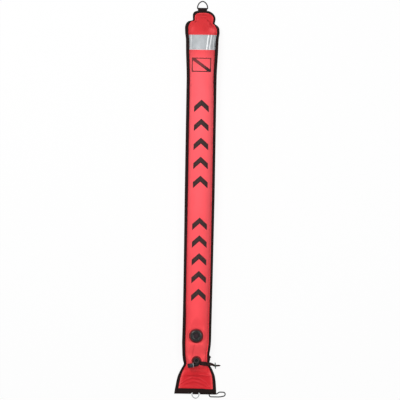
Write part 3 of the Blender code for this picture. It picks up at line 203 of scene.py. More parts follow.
class BuoyTapeSettings(bpy.types.PropertyGroup):
    """Sizes and colours of the webbing, the stitching and the elastic loop"""

    thickness: length_property("Tape", "Thickness of the edge and hem tapes", 1.0 * MM)
    edge_width: length_property("Edge tape", "What shows of the folded edge tape", 14 * MM)
    crown_width: length_property("Crown tape", "Its width at the sides of the top lobe", 8 * MM)
    head_width: length_property("Head tape", "Its width across the head", 8.5 * MM)
    webbing: length_property("Webbing", "Thickness of the tabs' webbing", 1.2 * MM)
    stitch: length_property("Stitch", "Length of one stitch", 3.6 * MM)
    thread: length_property("Thread", "Thickness of the sewing thread", 0.55 * MM)
    black: colour_property("Webbing colour", "Colour of the polyester webbing", "1B1211")
    thread_black: colour_property("Thread colour", "Colour of the sewing thread", "1F1716")
    cord: length_property("Elastic cord", "Diameter of the elastic loop", 5.0 * MM)
    cord_grey: colour_property("Elastic colour", "Colour of the elastic's braid", "0B0A0C")


class BuoyFittingSettings(bpy.types.PropertyGroup):
    """Colours of the rings, the valve, the inflator and the strap"""

    edge: length_property("Edge", "Rounding of the mouldings' edges", 0.35 * MM)
    nylon: colour_property("Mouldings", "Colour of the moulded nylon", "0A0B0B")
    knob: colour_property("Pull knob", "Colour of the valve's pull knob", "24171D")
    nut: colour_property("Nut", "Colour of the hollow nut", "120E0E")
    # painted highlight: the lock ring's light grey stands for the light along its rim
    collar: colour_property("Lock ring", "Colour of the lock ring", "8B9090")
    silicone: colour_property("Mouthpiece", "Colour of the silicone mouthpiece", "22383D")
    # the darker red brown at the mouthpiece's outer end
    bite: colour_property("Mouthpiece end", "Colour of the mouthpiece's end, stained by use", "1B0F10")
    # painted highlight: the bar's lighter grey green stands for the light on it
    toggle: colour_property("Toggle", "Colour of the toggle", "36423A")
    strap: colour_property("Strap", "Colour of the rubber strap", "261413")
    steel: colour_property("Steel", "Colour of the stainless steel", "929496")
    black_steel: colour_property("Coated steel", "Colour of the coated head ring", "060707")


class BuoyStageSettings(bpy.types.PropertyGroup):
    """Floor, light and camera"""

    floor: colour_property("Floor", "Colour of the floor", "E6E6E6")
    world_light: number_property("World", "Strength of the world's light", 0.32)
    key_light: number_property("Key", "Power of the key light in watts", 165)
    fill_light: number_property("Fill", "Power of the fill light in watts", 85)
    lens: number_property("Lens", "Focal length in millimetres", 1500)
    roll: number_property("Roll", "Turn of the camera about its view", math.radians(0.938), subtype="ANGLE")
    frame_width: length_property("Frame", "Width of the view at the floor", 1.8105, most=5)
    aim: bpy.props.FloatVectorProperty(
        name="Aim", description="Point at the middle of the view", default=(0.00404, -0.00113, 0.004), unit="LENGTH"
    )


def cloth():
    return bpy.context.scene.buoy_cloth


def tapes():
    return bpy.context.scene.buoy_tapes


def fittings():
    return bpy.context.scene.buoy_fittings


# Shapes


def curve_through(knots, at):
    """Cubic between (place, value) knots whose slopes are the weighted harmonic means of the rises on both sides,
    so that it never overshoots; flat beyond both ends."""
    x, y = knots.T
    step = np.diff(x)
    rise = np.diff(y) / step
    before, after = rise[:-1], rise[1:]
    a, b = 2 * step[1:] + step[:-1], step[1:] + 2 * step[:-1]
    same = before * after > 0
    mean = (a + b) / (a / np.where(same, before, 1) + b / np.where(same, after, 1))
    slope = np.concatenate([[0], np.where(same, mean, 0), [0]])
    at = np.clip(at, x[0], x[-1])
    i = np.clip(np.searchsorted(x, at, side="right") - 1, 0, len(x) - 2)
    t = (at - x[i]) / step[i]
    ends = (1 + 2 * t) * (1 - t) ** 2 * y[i] + t * t * (3 - 2 * t) * y[i + 1]
    return ends + step[i] * (t * (1 - t) ** 2 * slope[i] + t * t * (t - 1) * slope[i + 1])


def ease(t):
    """3t^2 - 2t^3 with t held between 0 and 1."""
    t = np.clip(t, 0, 1)
    return t * t * (3 - 2 * t)


def bell(distance, width):
    """exp(-(distance / width)^2), a soft bump of height 1."""
    return np.exp(-((distance / width) ** 2))


def ripple(at, seed, *waves):
    """Sum of sines of these wavelengths in mm with seeded phases, scaled to about -1 to 1."""
    phases = np.random.default_rng(seed).uniform(0, 2 * math.pi, len(waves))
    return sum(np.sin(2 * math.pi * at / (w * MM) + p) for w, p in zip(waves, phases)) / len(waves) ** 0.5


def askew(x, y, z):
    """Points (x, y, z) of the straight outline, moved to where they lie on the crooked buoy."""
    bump = ease(1 - np.abs(y - SKEW_Y) / SKEW_REACH)
    shifted = x + curve_through(SIDE_SHIFT, y)
    # The tail tab draws the hem up for 16 mm to both sides, which leaves its ring room to swing
    from_tab = np.abs(shifted - TAIL_TAB_X)
    drawn_up = (0.62 + 0.5 * ease((FRONT_END_Y - y) / (3.6 * MM))) * (1 - ease((from_tab - 16 * MM) / (6 * MM)))
    stretch = MOUTH_STRETCH * (1 - drawn_up) * ease((HEM_START_Y - y) / (14 * MM))
    lean = SHOULDER_SKEW * (0.92 * x + 0.08 * np.hypot(x, 10 * MM))
    return np.stack([shifted, y - lean * bump - stretch, z], axis=-1)


def seam_at(y):
    """Height of the seam above the floor."""
    return curve_through(SEAM_HEIGHT, y)


def half_seam():
    """From the middle of the seam to the outer face of the cloth."""
    return SEAM_GAP / 2 + cloth().fabric


def tape_width(y):
    """What shows of the edge tape, which is narrower round the lobe at the head."""
    settings = tapes()
    notch = HALF_WIDTH[-2][0]
    share = ease((y - notch + TAPE_EASE_LENGTH) / TAPE_EASE_LENGTH)
    return settings.edge_width + (settings.crown_width - settings.edge_width) * share


def steepness(y):
    """Length of the seam's line over its length on the floor."""
    slope = (seam_at(y + MM) - seam_at(y - MM)) / (2 * MM)
    return np.hypot(1, slope)


def seam_margin(y):
    """How far a panel's outer face stands off the seam in its sewn margin."""
    return half_seam() * steepness(y)


def between_tapes(y):
    """Half the width of the cloth that shows between the edge tapes."""
    return curve_through(HALF_WIDTH, y) - tape_width(y)


def across(share, y):
    """(x on the crooked buoy, distance from the edge tape) of a place on a panel."""
    half = between_tapes(y)
    return share * half + curve_through(SIDE_SHIFT, y), (1 - np.abs(share)) * half


def corner(inset_x, inset_y):
    """(half-width, y) round the head's corner: a quarter ellipse inside the outline by the two insets, and longer
    across the head the further in it lies."""
    turn = np.linspace(0, math.pi / 2, 19)
    reach = HEAD_CORNER - inset_x + 12 * MM * inset_x / tapes().crown_width
    x = HALF_WIDTH[-1][1] - inset_x - reach * (1 - np.cos(turn))
    return x, HEAD_Y - HEAD_CORNER + (HEAD_CORNER - inset_y) * np.sin(turn)


def long_rows(first):
    """Places along the buoy from the mouth to where the head's corners start, a row step apart at both ends and
    2.2 times that in between."""
    last = HEAD_Y - HEAD_CORNER
    y = np.linspace(first, last, 6001)
    from_end = np.minimum(y - first, last - y)
    step = cloth().row_step * (1 + 1.2 * ease((from_end - 180 * MM) / (120 * MM)))
    count = np.concatenate([[0], np.cumsum(np.diff(y) / step[:-1])])
    return np.interp(np.linspace(0, count[-1], round(count[-1]) + 1), count, y)


def panel_rows(first):
    """(edge, between the tapes, y) of the cloth's rows, as three arrays."""
    thickness = tapes().thickness
    y = long_rows(first)[:-1]
    outer = curve_through(HALF_WIDTH, y)
    edge, between = outer - thickness - FOLD_GAP, outer - tape_width(y)
    inner_x, inner_y = corner(tapes().crown_width, tapes().head_width)
    round_x, round_y = corner(thickness + FOLD_GAP, thickness + FOLD_GAP)
    return (
        np.concatenate([edge, round_x]),
        np.concatenate([between, np.interp(round_y, inner_y, inner_x)]),
        np.concatenate([y, round_y]),
    )


def landing(y):
    """Height that the front panel isn't above: flat round the valve and the inflator, rising away from them."""
    from_valve = np.maximum(0, np.abs(y - VALVE[1]) - VALVE_REACH)
    from_inflator = np.maximum(0, np.abs(y - INFLATOR[1]) - INFLATOR_REACH)
    bend = 12 * MM
    over_valve = VALVE[2] + 0.3 * (np.hypot(from_valve, bend) - bend)
    over_inflator = INFLATOR[2] + 0.65 * (np.hypot(from_inflator, bend) - bend)
    return soft_least(over_valve, over_inflator, 4 * MM)


def soft_least(a, b, width):
    """Smaller of two heights, rounded where they cross: half of a + b less the root of (a - b)^2 + width^2."""
    return (a + b - np.sqrt((a - b) ** 2 + width**2)) / 2


def arc_over(half, height):
    """Radius and half angle of the circle arc over a chord of 2 half."""
    radius = (half**2 + height**2) / (2 * height)
    return radius, np.arcsin(np.minimum(1, half / radius))


def arch(half, height, share):
    """Circle arc over a chord of 2 half: at angle lean * share it is (R sin, R cos - R + height)."""
    height = np.maximum(height, 0.02 * MM)
    radius, lean = arc_over(half, height)
    return radius * np.sin(lean * share), radius * np.cos(lean * share) - radius + height


def share_at(x, y):
    """The arch's share at a place x across the crooked buoy: its angle is asin((x - shift) / R)."""
    radius, lean = arc_over(between_tapes(y) - ARCH_INSET, curve_through(FRONT_SWELL, y))
    return np.arcsin(np.clip((x - curve_through(SIDE_SHIFT, y)) / radius, -1, 1)) / lean


def lifted(grid, lift):
    """Every point moved along its surface's normal, the cross product of the differences both ways, turned up."""
    normal = np.cross(np.gradient(grid, axis=1), np.gradient(grid, axis=0))
    normal /= np.maximum(np.linalg.norm(normal, axis=2, keepdims=True), 1e-12)
    normal *= np.where(normal[..., 2:] < 0, -1, 1)
    return grid + normal * (lift[..., None] if np.ndim(lift) else lift)


# x, y of one end, x, y of the other, depth as a share of the crease depth, width, all in mm
HEAD_FOLDS = (
    (-10, 832, 24, 832, 0.7, 2.6), (-20, 838, 30, 838, -0.6, 2.6), (-10, 826, 26, 826, -0.8, 3.2),
    (-28, 826, -27, 797, -1.5, 2.6), (22, 818, 32, 812, -1.7, 3.0), (34, 806, 46, 796, -1.9, 3.2),
    (-22, 816, -21, 799, 0.5, 2.6), (27, 811, 27, 794, 0.6, 2.4), (37, 816, 41, 794, -0.9, 3.0),
    (30, 779, 45, 770, 1.1, 1.9), (35, 785, 49, 775, 0.9, 1.9), (27, 771, 38, 764, 0.9, 1.9),
    (44, 770, 54, 761, 0.8, 1.9), (32, 788, 42, 781, -0.7, 2.0), (38, 774, 50, 765, -0.7, 1.6),
    (64, 778, 65, 757, 0.8, 2.6), (-66, 788, -66, 762, 0.6, 3.0), (-34, 782, -44, 762, 0.5, 6.0),
    (10, 790, 14, 760, -0.3, 9.0),
)
WAIST_FOLDS = (
    (-7, -652, -17, -716, -0.9, 1.8), (1, -660, 3, -706, 0.6, 3.2), (-33, -655, -34, -735, 0.5, 7.0),
    (35, -692, 34, -722, 0.9, 3.0), (24, -668, 25, -716, -0.25, 3.0), (48, -690, 46, -724, -0.3, 3.6),
    (-50, -735, -22, -752, 0.5, 4.0), (48, -752, 24, -757, -0.5, 3.0), (-48, -757, -22, -763, -0.5, 3.0),
    (-56, -799, 18, -800, -1.1, 2.3), (8, -790, 60, -796, 1.0, 2.0),
)
# Arched folds of the flared mouth: middle's y, how far its sides lie lower 80 mm out, depth, width
MOUTH_FOLDS = (
    (-770, 22, 0.4, 6.0), (-804, 50, 0.6, 2.8), (-811, 45, -0.6, 2.8), (-821, 42, 0.4, 3.4),
    (-829, 38, -0.45, 4.0), (-836, 30, 0.2, 3.0),
)


def fold_depth(folds, x, y):
    """Sum of bells round straight lines: each has the distance of (x, y) from the nearest point of its line."""
    out = np.zeros(np.shape(x))
    for x0, y0, x1, y1, depth, width in folds:
        run = np.array([x1 - x0, y1 - y0]) * MM
        from_x, from_y = x - x0 * MM, y - y0 * MM
        t = np.clip((from_x * run[0] + from_y * run[1]) / (run @ run), 0, 1)
        away = np.hypot(from_x - t * run[0], from_y - t * run[1])
        out += depth * bell(away, width * MM) * (1 - 0.75 * np.abs(2 * t - 1) ** 3)
    return out


def drawn_folds(share, y):
    """Height of the drawn folds as a share of the crease depth: the straight ones, and arcs across the mouth along
    y = top - sag * (x / 80 mm)^2, a little unsteady."""
    x, from_seam = across(share, y)
    arcs = np.zeros(np.shape(x))
    for top, sag, depth, width in MOUTH_FOLDS:
        line = top * MM - sag * MM * ((x + 10 * MM) / (80 * MM)) ** 2 + 1.5 * MM * ripple(x, abs(top), 31, 53)
        arcs += depth * bell(y - line, width * MM) * (1 + 0.45 * ripple(x, abs(top) + 7, 43, 71))
    flare = ease((-758 * MM - y) / (14 * MM)) * ease((y - HEM_START_Y) / (12 * MM))
    return arcs * flare + fold_depth(HEAD_FOLDS + WAIST_FOLDS, x, y) * ease(from_seam / (3 * MM))


def painted_light(share, y):
    """How much paler (above 0) or darker (below 0) the nylon is painted, all of it painted light and shade: painted
    highlights on folds that stand up, along the roll inside the lobe's tape, on the shoulders, beside the mouth's tapes
    and above its hem; painted shade in the folds, over the top of the head, in a fold across the mouth and along the
    hem's edge, and painted shadows in rings round the valve and the inflator's nut."""
    x, from_seam = across(share, y)
    from_tape = np.minimum(from_seam, HEAD_Y - tapes().head_width - y)
    # painted highlight along the roll of cloth inside the lobe's tape, fainter in the middle of the head
    rim = 1.6 * bell(from_tape - 2.4 * MM, 1.7 * MM) * ease((y - 775 * MM) / (25 * MM))
    rim *= 1 - 0.7 * bell(x - 4 * MM, 14 * MM) * ease((y - 825 * MM) / (10 * MM))
    # painted shade over the top of the head
    shaded_crown = 0.45 * ease((y - 826 * MM) / (10 * MM))
    # painted highlights on the shoulders, stronger on the right
    shoulders = bell(y - 766 * MM, 14 * MM) * (1.5 * bell(x - 47 * MM, 15 * MM) + 0.3 * bell(x + 46 * MM, 18 * MM))
    # painted highlights beside the mouth's tapes
    sides = 0.4 * bell(from_seam - 3 * MM, 9 * MM) + 0.8 * bell(from_seam - 2.5 * MM, 2.6 * MM)
    sides *= ease((-765 * MM - y) / (20 * MM))
    # painted highlight above the hem and painted shade along its edge
    hem = 0.3 * bell(y + 845 * MM, 6 * MM) - 0.5 * bell(y + 853 * MM, 5 * MM)
    # painted shade in the fold across the mouth, and painted shadows in rings round the valve and the nut
    dark_fold = 0.4 * bell(y + 798 * MM, 7 * MM) * bell(x - 8 * MM, 40 * MM)
    round_valve = 0.55 * bell(np.hypot(x - VALVE[0], y - VALVE[1] - MM) - 31 * MM, 4.5 * MM)
    round_nut = 0.3 * bell(np.hypot(x - INFLATOR[0], y - INFLATOR[1]) - 24 * MM, 5 * MM)
    dark = shaded_crown + dark_fold + round_valve + round_nut
    # painted highlights on folds that stand up and painted shade in their hollows
    return 0.7 * drawn_folds(share, y) + rim + shoulders + np.maximum(sides, hem) - dark


def puckers(along, from_seam, reach):
    """Ripples along a seam that fade into the panel."""
    return cloth().pucker * along * np.exp(-from_seam / reach) * ease(from_seam / (3 * MM))


def front_creases(share, y):
    """Depth of the front panel's puckers and creases: ripples that fade from the seams, and soft bumps along
    the lines where the cloth folds at the waist, in the flared mouth, beside the lobe and under the valve."""
    settings = cloth()
    x, from_seam = across(share, y)
    along = np.where(share > 0, ripple(y, 5, 17, 26, 41), ripple(y / 1.13, 9, 17, 26, 41))
    slow = ripple(y + share * 20 * MM, 3, 64, 97, 151) * ease(from_seam / (25 * MM))
    # Gathers that run down from the waist
    gather = bell(y + 752 * MM, 22 * MM) * ripple(x + 0.2 * y, 21, 11, 17, 23) * ease(from_seam / (8 * MM))
    creases = drawn_folds(share, y) + 0.5 * gather
    # Upright ridges where the stiff reflective band buckles
    band = ease((y - 664 * MM) / (16 * MM)) * ease((762 * MM - y) / (18 * MM))
    for place, lean, depth, width in BAND_RIDGES:
        creases += depth * band * bell(x - place * MM - lean * (y - RIDGE_Y), width * MM)
    # The cloth rolls up where the edge tape pulls it in
    roll = bell(from_seam - 3.5 * MM, 2.6 * MM) * ease((y - 765 * MM) / (25 * MM))
    out = puckers(along, from_seam, 11 * MM) + 0.22 * settings.pucker * slow
    out += settings.crease * creases + 2.0 * MM * roll
    near_valve = ease((np.hypot(x - VALVE[0], y - VALVE[1]) - 30 * MM) / (8 * MM))
    near_inflator = ease((np.hypot(x, y - INFLATOR[1]) - 20 * MM) / (6 * MM))
    return out * near_valve * near_inflator * ease((HEAD_Y - 10 * MM - y) / (4 * MM))


def front_arch(between, y, share):
    """(x, height above the seam) of the front panel's arch."""
    return arch(between - ARCH_INSET, curve_through(FRONT_SWELL, y), share)


def front_face(share, y, between=None, lift=0.0):
    """Outer face of the front panel: seam height plus sewn margin plus the arch, held under the flat places of
    the fittings, with its creases, raised square to itself by lift."""
    x, z = front_arch(between_tapes(y) if between is None else between, y, share)
    z = soft_least(seam_at(y) + seam_margin(y) + z, landing(y), 1.2 * MM)
    return lifted(askew(x, y, z), front_creases(share, y) + lift)


def back_face(share, y, between):
    """Outer face of the back panel: the seam less its margin and the arch, held above the floor."""
    edge = seam_at(y) - seam_margin(y)
    lowest = curve_through(UNDERSIDE, y)
    drop = np.maximum(0, edge - lowest) * BACK_PRESS
    x, down = arch(between - ARCH_INSET, drop, share)
    along = np.where(share > 0, ripple(y, 31, 19, 29, 44), ripple(y, 37, 18, 27, 47))
    rise = np.abs(puckers(along, (1 - np.abs(share)) * between, 10 * MM)) * ease(drop / (10 * MM))
    return askew(x, y, np.maximum(edge - down + rise, lowest))


# Mesh code


def grid_quads(rows, columns, close_rows=False, close_columns=False, first=0):
    """Corner numbers of the quads between neighbouring points of a grid, wrapped round where it is closed."""
    i = np.arange(rows if close_rows else rows - 1)[:, None]
    j = np.arange(columns if close_columns else columns - 1)[None, :]
    down, right = (i + 1) % rows, (j + 1) % columns
    quads = np.stack([i * columns + j, i * columns + right, down * columns + right, down * columns + j], axis=-1)
    return quads.reshape(-1, 4) + first


def surface_lengths(grid):
    """UV in metres: distance across each row from its middle, and distance along the middle column."""
    across = np.linalg.norm(np.diff(grid, axis=1), axis=2)
    u = np.concatenate([np.zeros((len(grid), 1)), np.cumsum(across, axis=1)], axis=1)
    u -= u[:, -1:] / 2
    v = distances(grid[:, grid.shape[1] // 2])[:, None] + np.zeros_like(u)
    return np.stack([u, v], axis=-1)


class Surface:
    """Gathers grids of points and caps into one mesh."""

    def __init__(self):
        self.points, self.uvs, self.faces, self.tones, self.count = [], [], [], [], 0

    def grid(self, points, close_rows=False, close_columns=False, cap_rows=False, flip=False, uv=None, tone=None):
        """One grid; cap_rows closes its first and last row with a fan round their middle; tone is a value for each
        point that the material can read."""
        if tone is not None:
            self.tones.append(tone.ravel())
        rows, columns = points.shape[:2]
        uv = surface_lengths(points) if uv is None else uv
        quads = grid_quads(rows, columns, close_rows, close_columns, self.count)
        faces = [quads[:, ::-1] if flip else quads]
        self.points.append(points.reshape(-1, 3))
        self.uvs.append(uv.reshape(-1, 2))
        start = self.count
        self.count += rows * columns
        if cap_rows:
            for row, turn in ((0, not flip), (rows - 1, flip)):
                self.points.append(points[row].mean(axis=0)[None])
                self.uvs.append(uv[row].mean(axis=0)[None])
                ring = start + row * columns + np.arange(columns)
                after = np.roll(ring, -1)
                a, b = (after, ring) if turn else (ring, after)
                faces.append(np.stack([np.full(columns, self.count), a, b, b], axis=-1))
                self.count += 1
        self.faces += faces
        return self

    def mesh(self, name):
        points, uvs = np.concatenate(self.points), np.concatenate(self.uvs)
        faces = np.concatenate(self.faces)
        kept = np.ones(faces.shape, dtype=bool)
        kept[:, 3] = faces[:, 2] != faces[:, 3]
        corners = faces[kept].astype(np.int32)
        sizes = kept.sum(axis=1)
        mesh = bpy.data.meshes.new(name)
        mesh.vertices.add(len(points))
        mesh.loops.add(len(corners))
        mesh.polygons.add(len(faces))
        mesh.vertices.foreach_set("co", points.ravel())
        mesh.loops.foreach_set("vertex_index", corners)
        mesh.polygons.foreach_set("loop_start", (np.cumsum(sizes) - sizes).astype(np.int32))
        mesh.update(calc_edges=True)
        layer = mesh.uv_layers.new(name="surface")
        layer.data.foreach_set("uv", uvs[corners].ravel())
        if self.tones:
            tone = mesh.attributes.new("tone", "FLOAT", "POINT")
            tone.data.foreach_set("value", np.concatenate(self.tones).astype(np.float32))
        return mesh


def add_object(name, data):
    made = bpy.data.objects.new(name, data)
    bpy.context.scene.collection.objects.link(made)
    return made


def add_piece(surface, name, finish, replaces=(), wall=0.0, wall_offset=-1.0, sharp=40, body="buoy"):
    """Makes an object of a surface, gives it its wall, its finish and the body that it rides on."""
    mesh = surface.mesh(name)
    piece = add_object(name, mesh)
    mesh.materials.append(finish_of(finish))
    mesh.shade_smooth()
    mesh.set_sharp_from_angle(angle=math.radians(sharp))
    if wall:
        solid = piece.modifiers.new("wall", "SOLIDIFY")
        solid.thickness, solid.offset, solid.use_even_offset = wall, wall_offset, True
    if replaces:
        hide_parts(*replaces)
    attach(piece, body)
    return piece


def full_turn(count):
    """Angles of points evenly round a circle."""
    return np.linspace(0, 2 * math.pi, count, endpoint=False)


def distances(path):
    """Distance along a path of each of its points."""
    return np.concatenate([[0], np.cumsum(np.linalg.norm(np.diff(path, axis=0), axis=1))])


def unit(vectors):
    """The same vectors at length 1."""
    return vectors / np.linalg.norm(vectors, axis=1, keepdims=True)


def along_path(path, closed=False):
    """Unit tangents of a path: central differences, wrapped round where it is closed."""
    return unit(np.roll(path, -1, axis=0) - np.roll(path, 1, axis=0) if closed else np.gradient(path, axis=0))


def tube_grid(path, radius, around, closed=False):
    """Circle of a radius carried along a path: point + radius (cos a * side + sin a * over)."""
    tangent = along_path(path, closed)
    side = unit(np.cross(tangent, (0, 0, 1)))
    over = np.cross(side, tangent)
    turn = full_turn(around)
    circle = np.cos(turn)[None, :, None] * side[:, None] + np.sin(turn)[None, :, None] * over[:, None]
    v = distances(path)[:, None] + np.zeros(around)
    u = radius * turn + np.zeros((len(path), 1))
    return path[:, None] + radius * circle, np.stack([u, v], axis=-1)


def smooth_path(points, step):
    """Points a step apart or less on the Catmull-Rom curve through a route's own points."""
    p = np.array(points, dtype=float)
    p = np.concatenate([[2 * p[0] - p[1]], p, [2 * p[-1] - p[-2]]])
    pieces = []
    for a, b, c, d in zip(p, p[1:], p[2:], p[3:]):
        count = max(1, math.ceil(np.linalg.norm(c - b) / step))
        t = (np.arange(count) / count)[:, None]
        pieces.append((2 * b + (c - a) * t + (2 * a - 5 * b + 4 * c - d) * t**2 + (3 * b - a - 3 * c + d) * t**3) / 2)
    return np.concatenate([*pieces, [p[-2]]])


def turned_grid(profile, place, around, radius_change=None):
    """A profile of (radius, height) turned about an upright axis at a place, starting at its -X side;
    radius_change(angle, radius, height) adds to the radius."""
    radius, height = (np.array(values)[:, None] + np.zeros(around) for values in zip(*profile))
    turn = full_turn(around)
    if radius_change:
        radius = radius + radius_change(turn[None, :], radius, height)
    return np.stack([-radius * np.cos(turn), -radius * np.sin(turn), height], axis=-1) + np.array(place)


def stitch_bodies(surface, centres, tangents, normals, length, thickness):
    """One small closed lens for each stitch: two rings of five points and a sunk tip at both ends."""
    turn, ring = full_turn(5), np.arange(5)
    after = (ring + 1) % 5
    sides = np.cross(normals, tangents)
    circle = np.cos(turn)[None, :, None] * sides[:, None] + np.sin(turn)[None, :, None] * normals[:, None]
    rings = [centres[:, None] + at * length * tangents[:, None] + circle * thickness / 2 for at in (-0.25, 0.25)]
    tips = [(centres + at * length * tangents - normals * thickness * 0.45)[:, None] for at in (-0.5, 0.5)]
    points = np.concatenate([*rings, *tips], axis=1)
    sleeve = (ring, after, after + 5, ring + 5)
    first_tip = (np.full(5, 10), after, ring, ring)
    last_tip = (np.full(5, 11), ring + 5, after + 5, after + 5)
    faces = np.concatenate([np.stack(corners, axis=-1) for corners in (sleeve, first_tip, last_tip)])
    per = points.shape[1]
    offsets = (np.arange(len(centres)) * per)[:, None, None] + surface.count
    surface.points.append(points.reshape(-1, 3))
    surface.uvs.append(np.zeros((len(centres) * per, 2)))
    surface.faces.append((faces[None] + offsets).reshape(-1, 4))
    surface.count += len(centres) * per


def stitch_line(surface, path, normals, spacing=None):
    """Stitches laid end to end along a line on a surface, whose normal is one for each point or one for all."""
    spacing = spacing or tapes().stitch
    length = distances(path)
    places = np.arange(spacing / 2, length[-1], spacing)

    def along(values, where):
        return np.stack([np.interp(where, length, values[:, k]) for k in range(3)], axis=-1)

    upward = unit(along(np.broadcast_to(normals, path.shape), places))
    ahead = along(path, places + spacing * 0.3) - along(path, places - spacing * 0.3)
    tangents = unit(ahead - upward * np.sum(ahead * upward, axis=1, keepdims=True))
    stitch_bodies(surface, along(path, places), tangents, upward, spacing * 0.8, tapes().thread)


# Finishes


def add_node(tree, kind, sockets=None, **settings):
    """Adds one node: settings are its attributes, sockets the values or outputs that go into its inputs."""
    node = tree.nodes.new(kind)
    for name, value in settings.items():
        setattr(node, name, value)
    for key, value in (sockets or {}).items():
        if isinstance(value, bpy.types.NodeSocket):
            tree.links.new(value, node.inputs[key])
        else:
            node.inputs[key].default_value = value
    return node


def new_material(name, colour, roughness, metallic=0.0, **extra):
    """A Principled material with constants on its sockets; returns it, its tree and its shader."""
    mat = bpy.data.materials.new(name)
    mat.use_nodes = True
    mat.diffuse_color = (*colour, 1)
    tree = mat.node_tree
    shader = tree.nodes["Principled BSDF"]
    shader.inputs["Base Color"].default_value = (*colour, 1)
    shader.inputs["Roughness"].default_value = roughness
    shader.inputs["Metallic"].default_value = metallic
    for key, value in extra.items():
        shader.inputs[key.replace("_", " ")].default_value = value
    return mat, tree, shader


WAVE_PERIOD = math.pi / 10  # a wave texture of scale 1 repeats after this length


def in_space(tree):
    return add_node(tree, "ShaderNodeTexCoord").outputs["Object"]


def on_surface(tree):
    return add_node(tree, "ShaderNodeUVMap", uv_map="surface").outputs["UV"]


def axis_of(tree, place, axis):
    return add_node(tree, "ShaderNodeSeparateXYZ", {0: place}).outputs[axis]


def tone_of(tree):
    """The value that the mesh holds for each of its points."""
    return add_node(tree, "ShaderNodeAttribute", attribute_name="tone").outputs["Fac"]


def threads(tree, place, pitch, direction, degrees=0):
    """Bands a pitch apart, across one direction."""
    if degrees:
        turn = (0, 0, math.radians(degrees))
        place = add_node(tree, "ShaderNodeMapping", {"Vector": place, "Rotation": turn}).outputs["Vector"]
    sockets = {"Vector": place, "Scale": WAVE_PERIOD / pitch, "Distortion": 0.0}
    wave = add_node(tree, "ShaderNodeTexWave", sockets, wave_type="BANDS", bands_direction=direction)
    return wave.outputs["Fac"]


def plain_weave(tree, place):
    """The nylon's threads, both ways."""
    pitch = cloth().thread_pitch
    return maths(tree, "MAXIMUM", threads(tree, place, pitch, "X"), threads(tree, place, pitch, "Y"))


def crossed(tree, place, pitch, degrees):
    """Threads that slant by an angle both ways."""
    slanted = (threads(tree, place, pitch, "X", turn) for turn in (degrees, -degrees))
    return maths(tree, "MAXIMUM", *slanted)


def graded(tree, value, low, high, stops):
    """Colour along a value: stops are (value, linear colour) pairs between low and high."""
    share = ramp(tree, value, low, high)
    made = add_node(tree, "ShaderNodeValToRGB", {"Fac": share})
    elements = made.color_ramp.elements
    for i, (at, colour) in enumerate(stops):
        element = elements[i] if i < 2 else elements.new(1.0)
        element.position = (at - low) / (high - low)
        element.color = (*colour, 1)
    return made.outputs["Color"]


def maths(tree, operation, a, b=0.0, c=0.0):
    """A math node on numbers or outputs."""
    return add_node(tree, "ShaderNodeMath", {0: a, 1: b, 2: c}, operation=operation).outputs[0]


def noise(tree, place, size, detail=3.0):
    """Noise whose blotches are about a size across."""
    made = add_node(tree, "ShaderNodeTexNoise", {"Vector": place, "Scale": 1 / size, "Detail": detail})
    return made.outputs["Fac"]


def blend_colours(tree, share, a, b):
    """Colour a where the share is 0, and b where it is 1."""
    a, b = (value if isinstance(value, bpy.types.NodeSocket) else (*value, 1) for value in (a, b))
    return add_node(tree, "ShaderNodeMix", {0: share, 6: a, 7: b}, data_type="RGBA").outputs[2]


def ramp(tree, share, low, high, most=1):
    """Goes from 0 to the most as the value goes from low to high."""
    made = add_node(tree, "ShaderNodeMapRange", {"Value": share, "From Min": low, "From Max": high, "To Max": most})
    return made.outputs["Result"]


def bump(tree, shader, height, distance, strength):
    """Leads a relief that is a distance deep at height 1 into the shader's normal."""
    made = add_node(tree, "ShaderNodeBump", {"Height": height, "Distance": distance, "Strength": strength})
    tree.links.new(made.outputs["Normal"], shader.inputs["Normal"])


def paint(tree, shader, colour, roughness=None):
    """Leads a colour, and a roughness where it varies, into the shader."""
    tree.links.new(colour, shader.inputs["Base Color"])
    if roughness is not None:
        tree.links.new(roughness, shader.inputs["Roughness"])


def shade(colour, factor):
    """A colour made lighter or darker by a factor."""
    return tuple(min(1.0, c * factor) for c in colour)


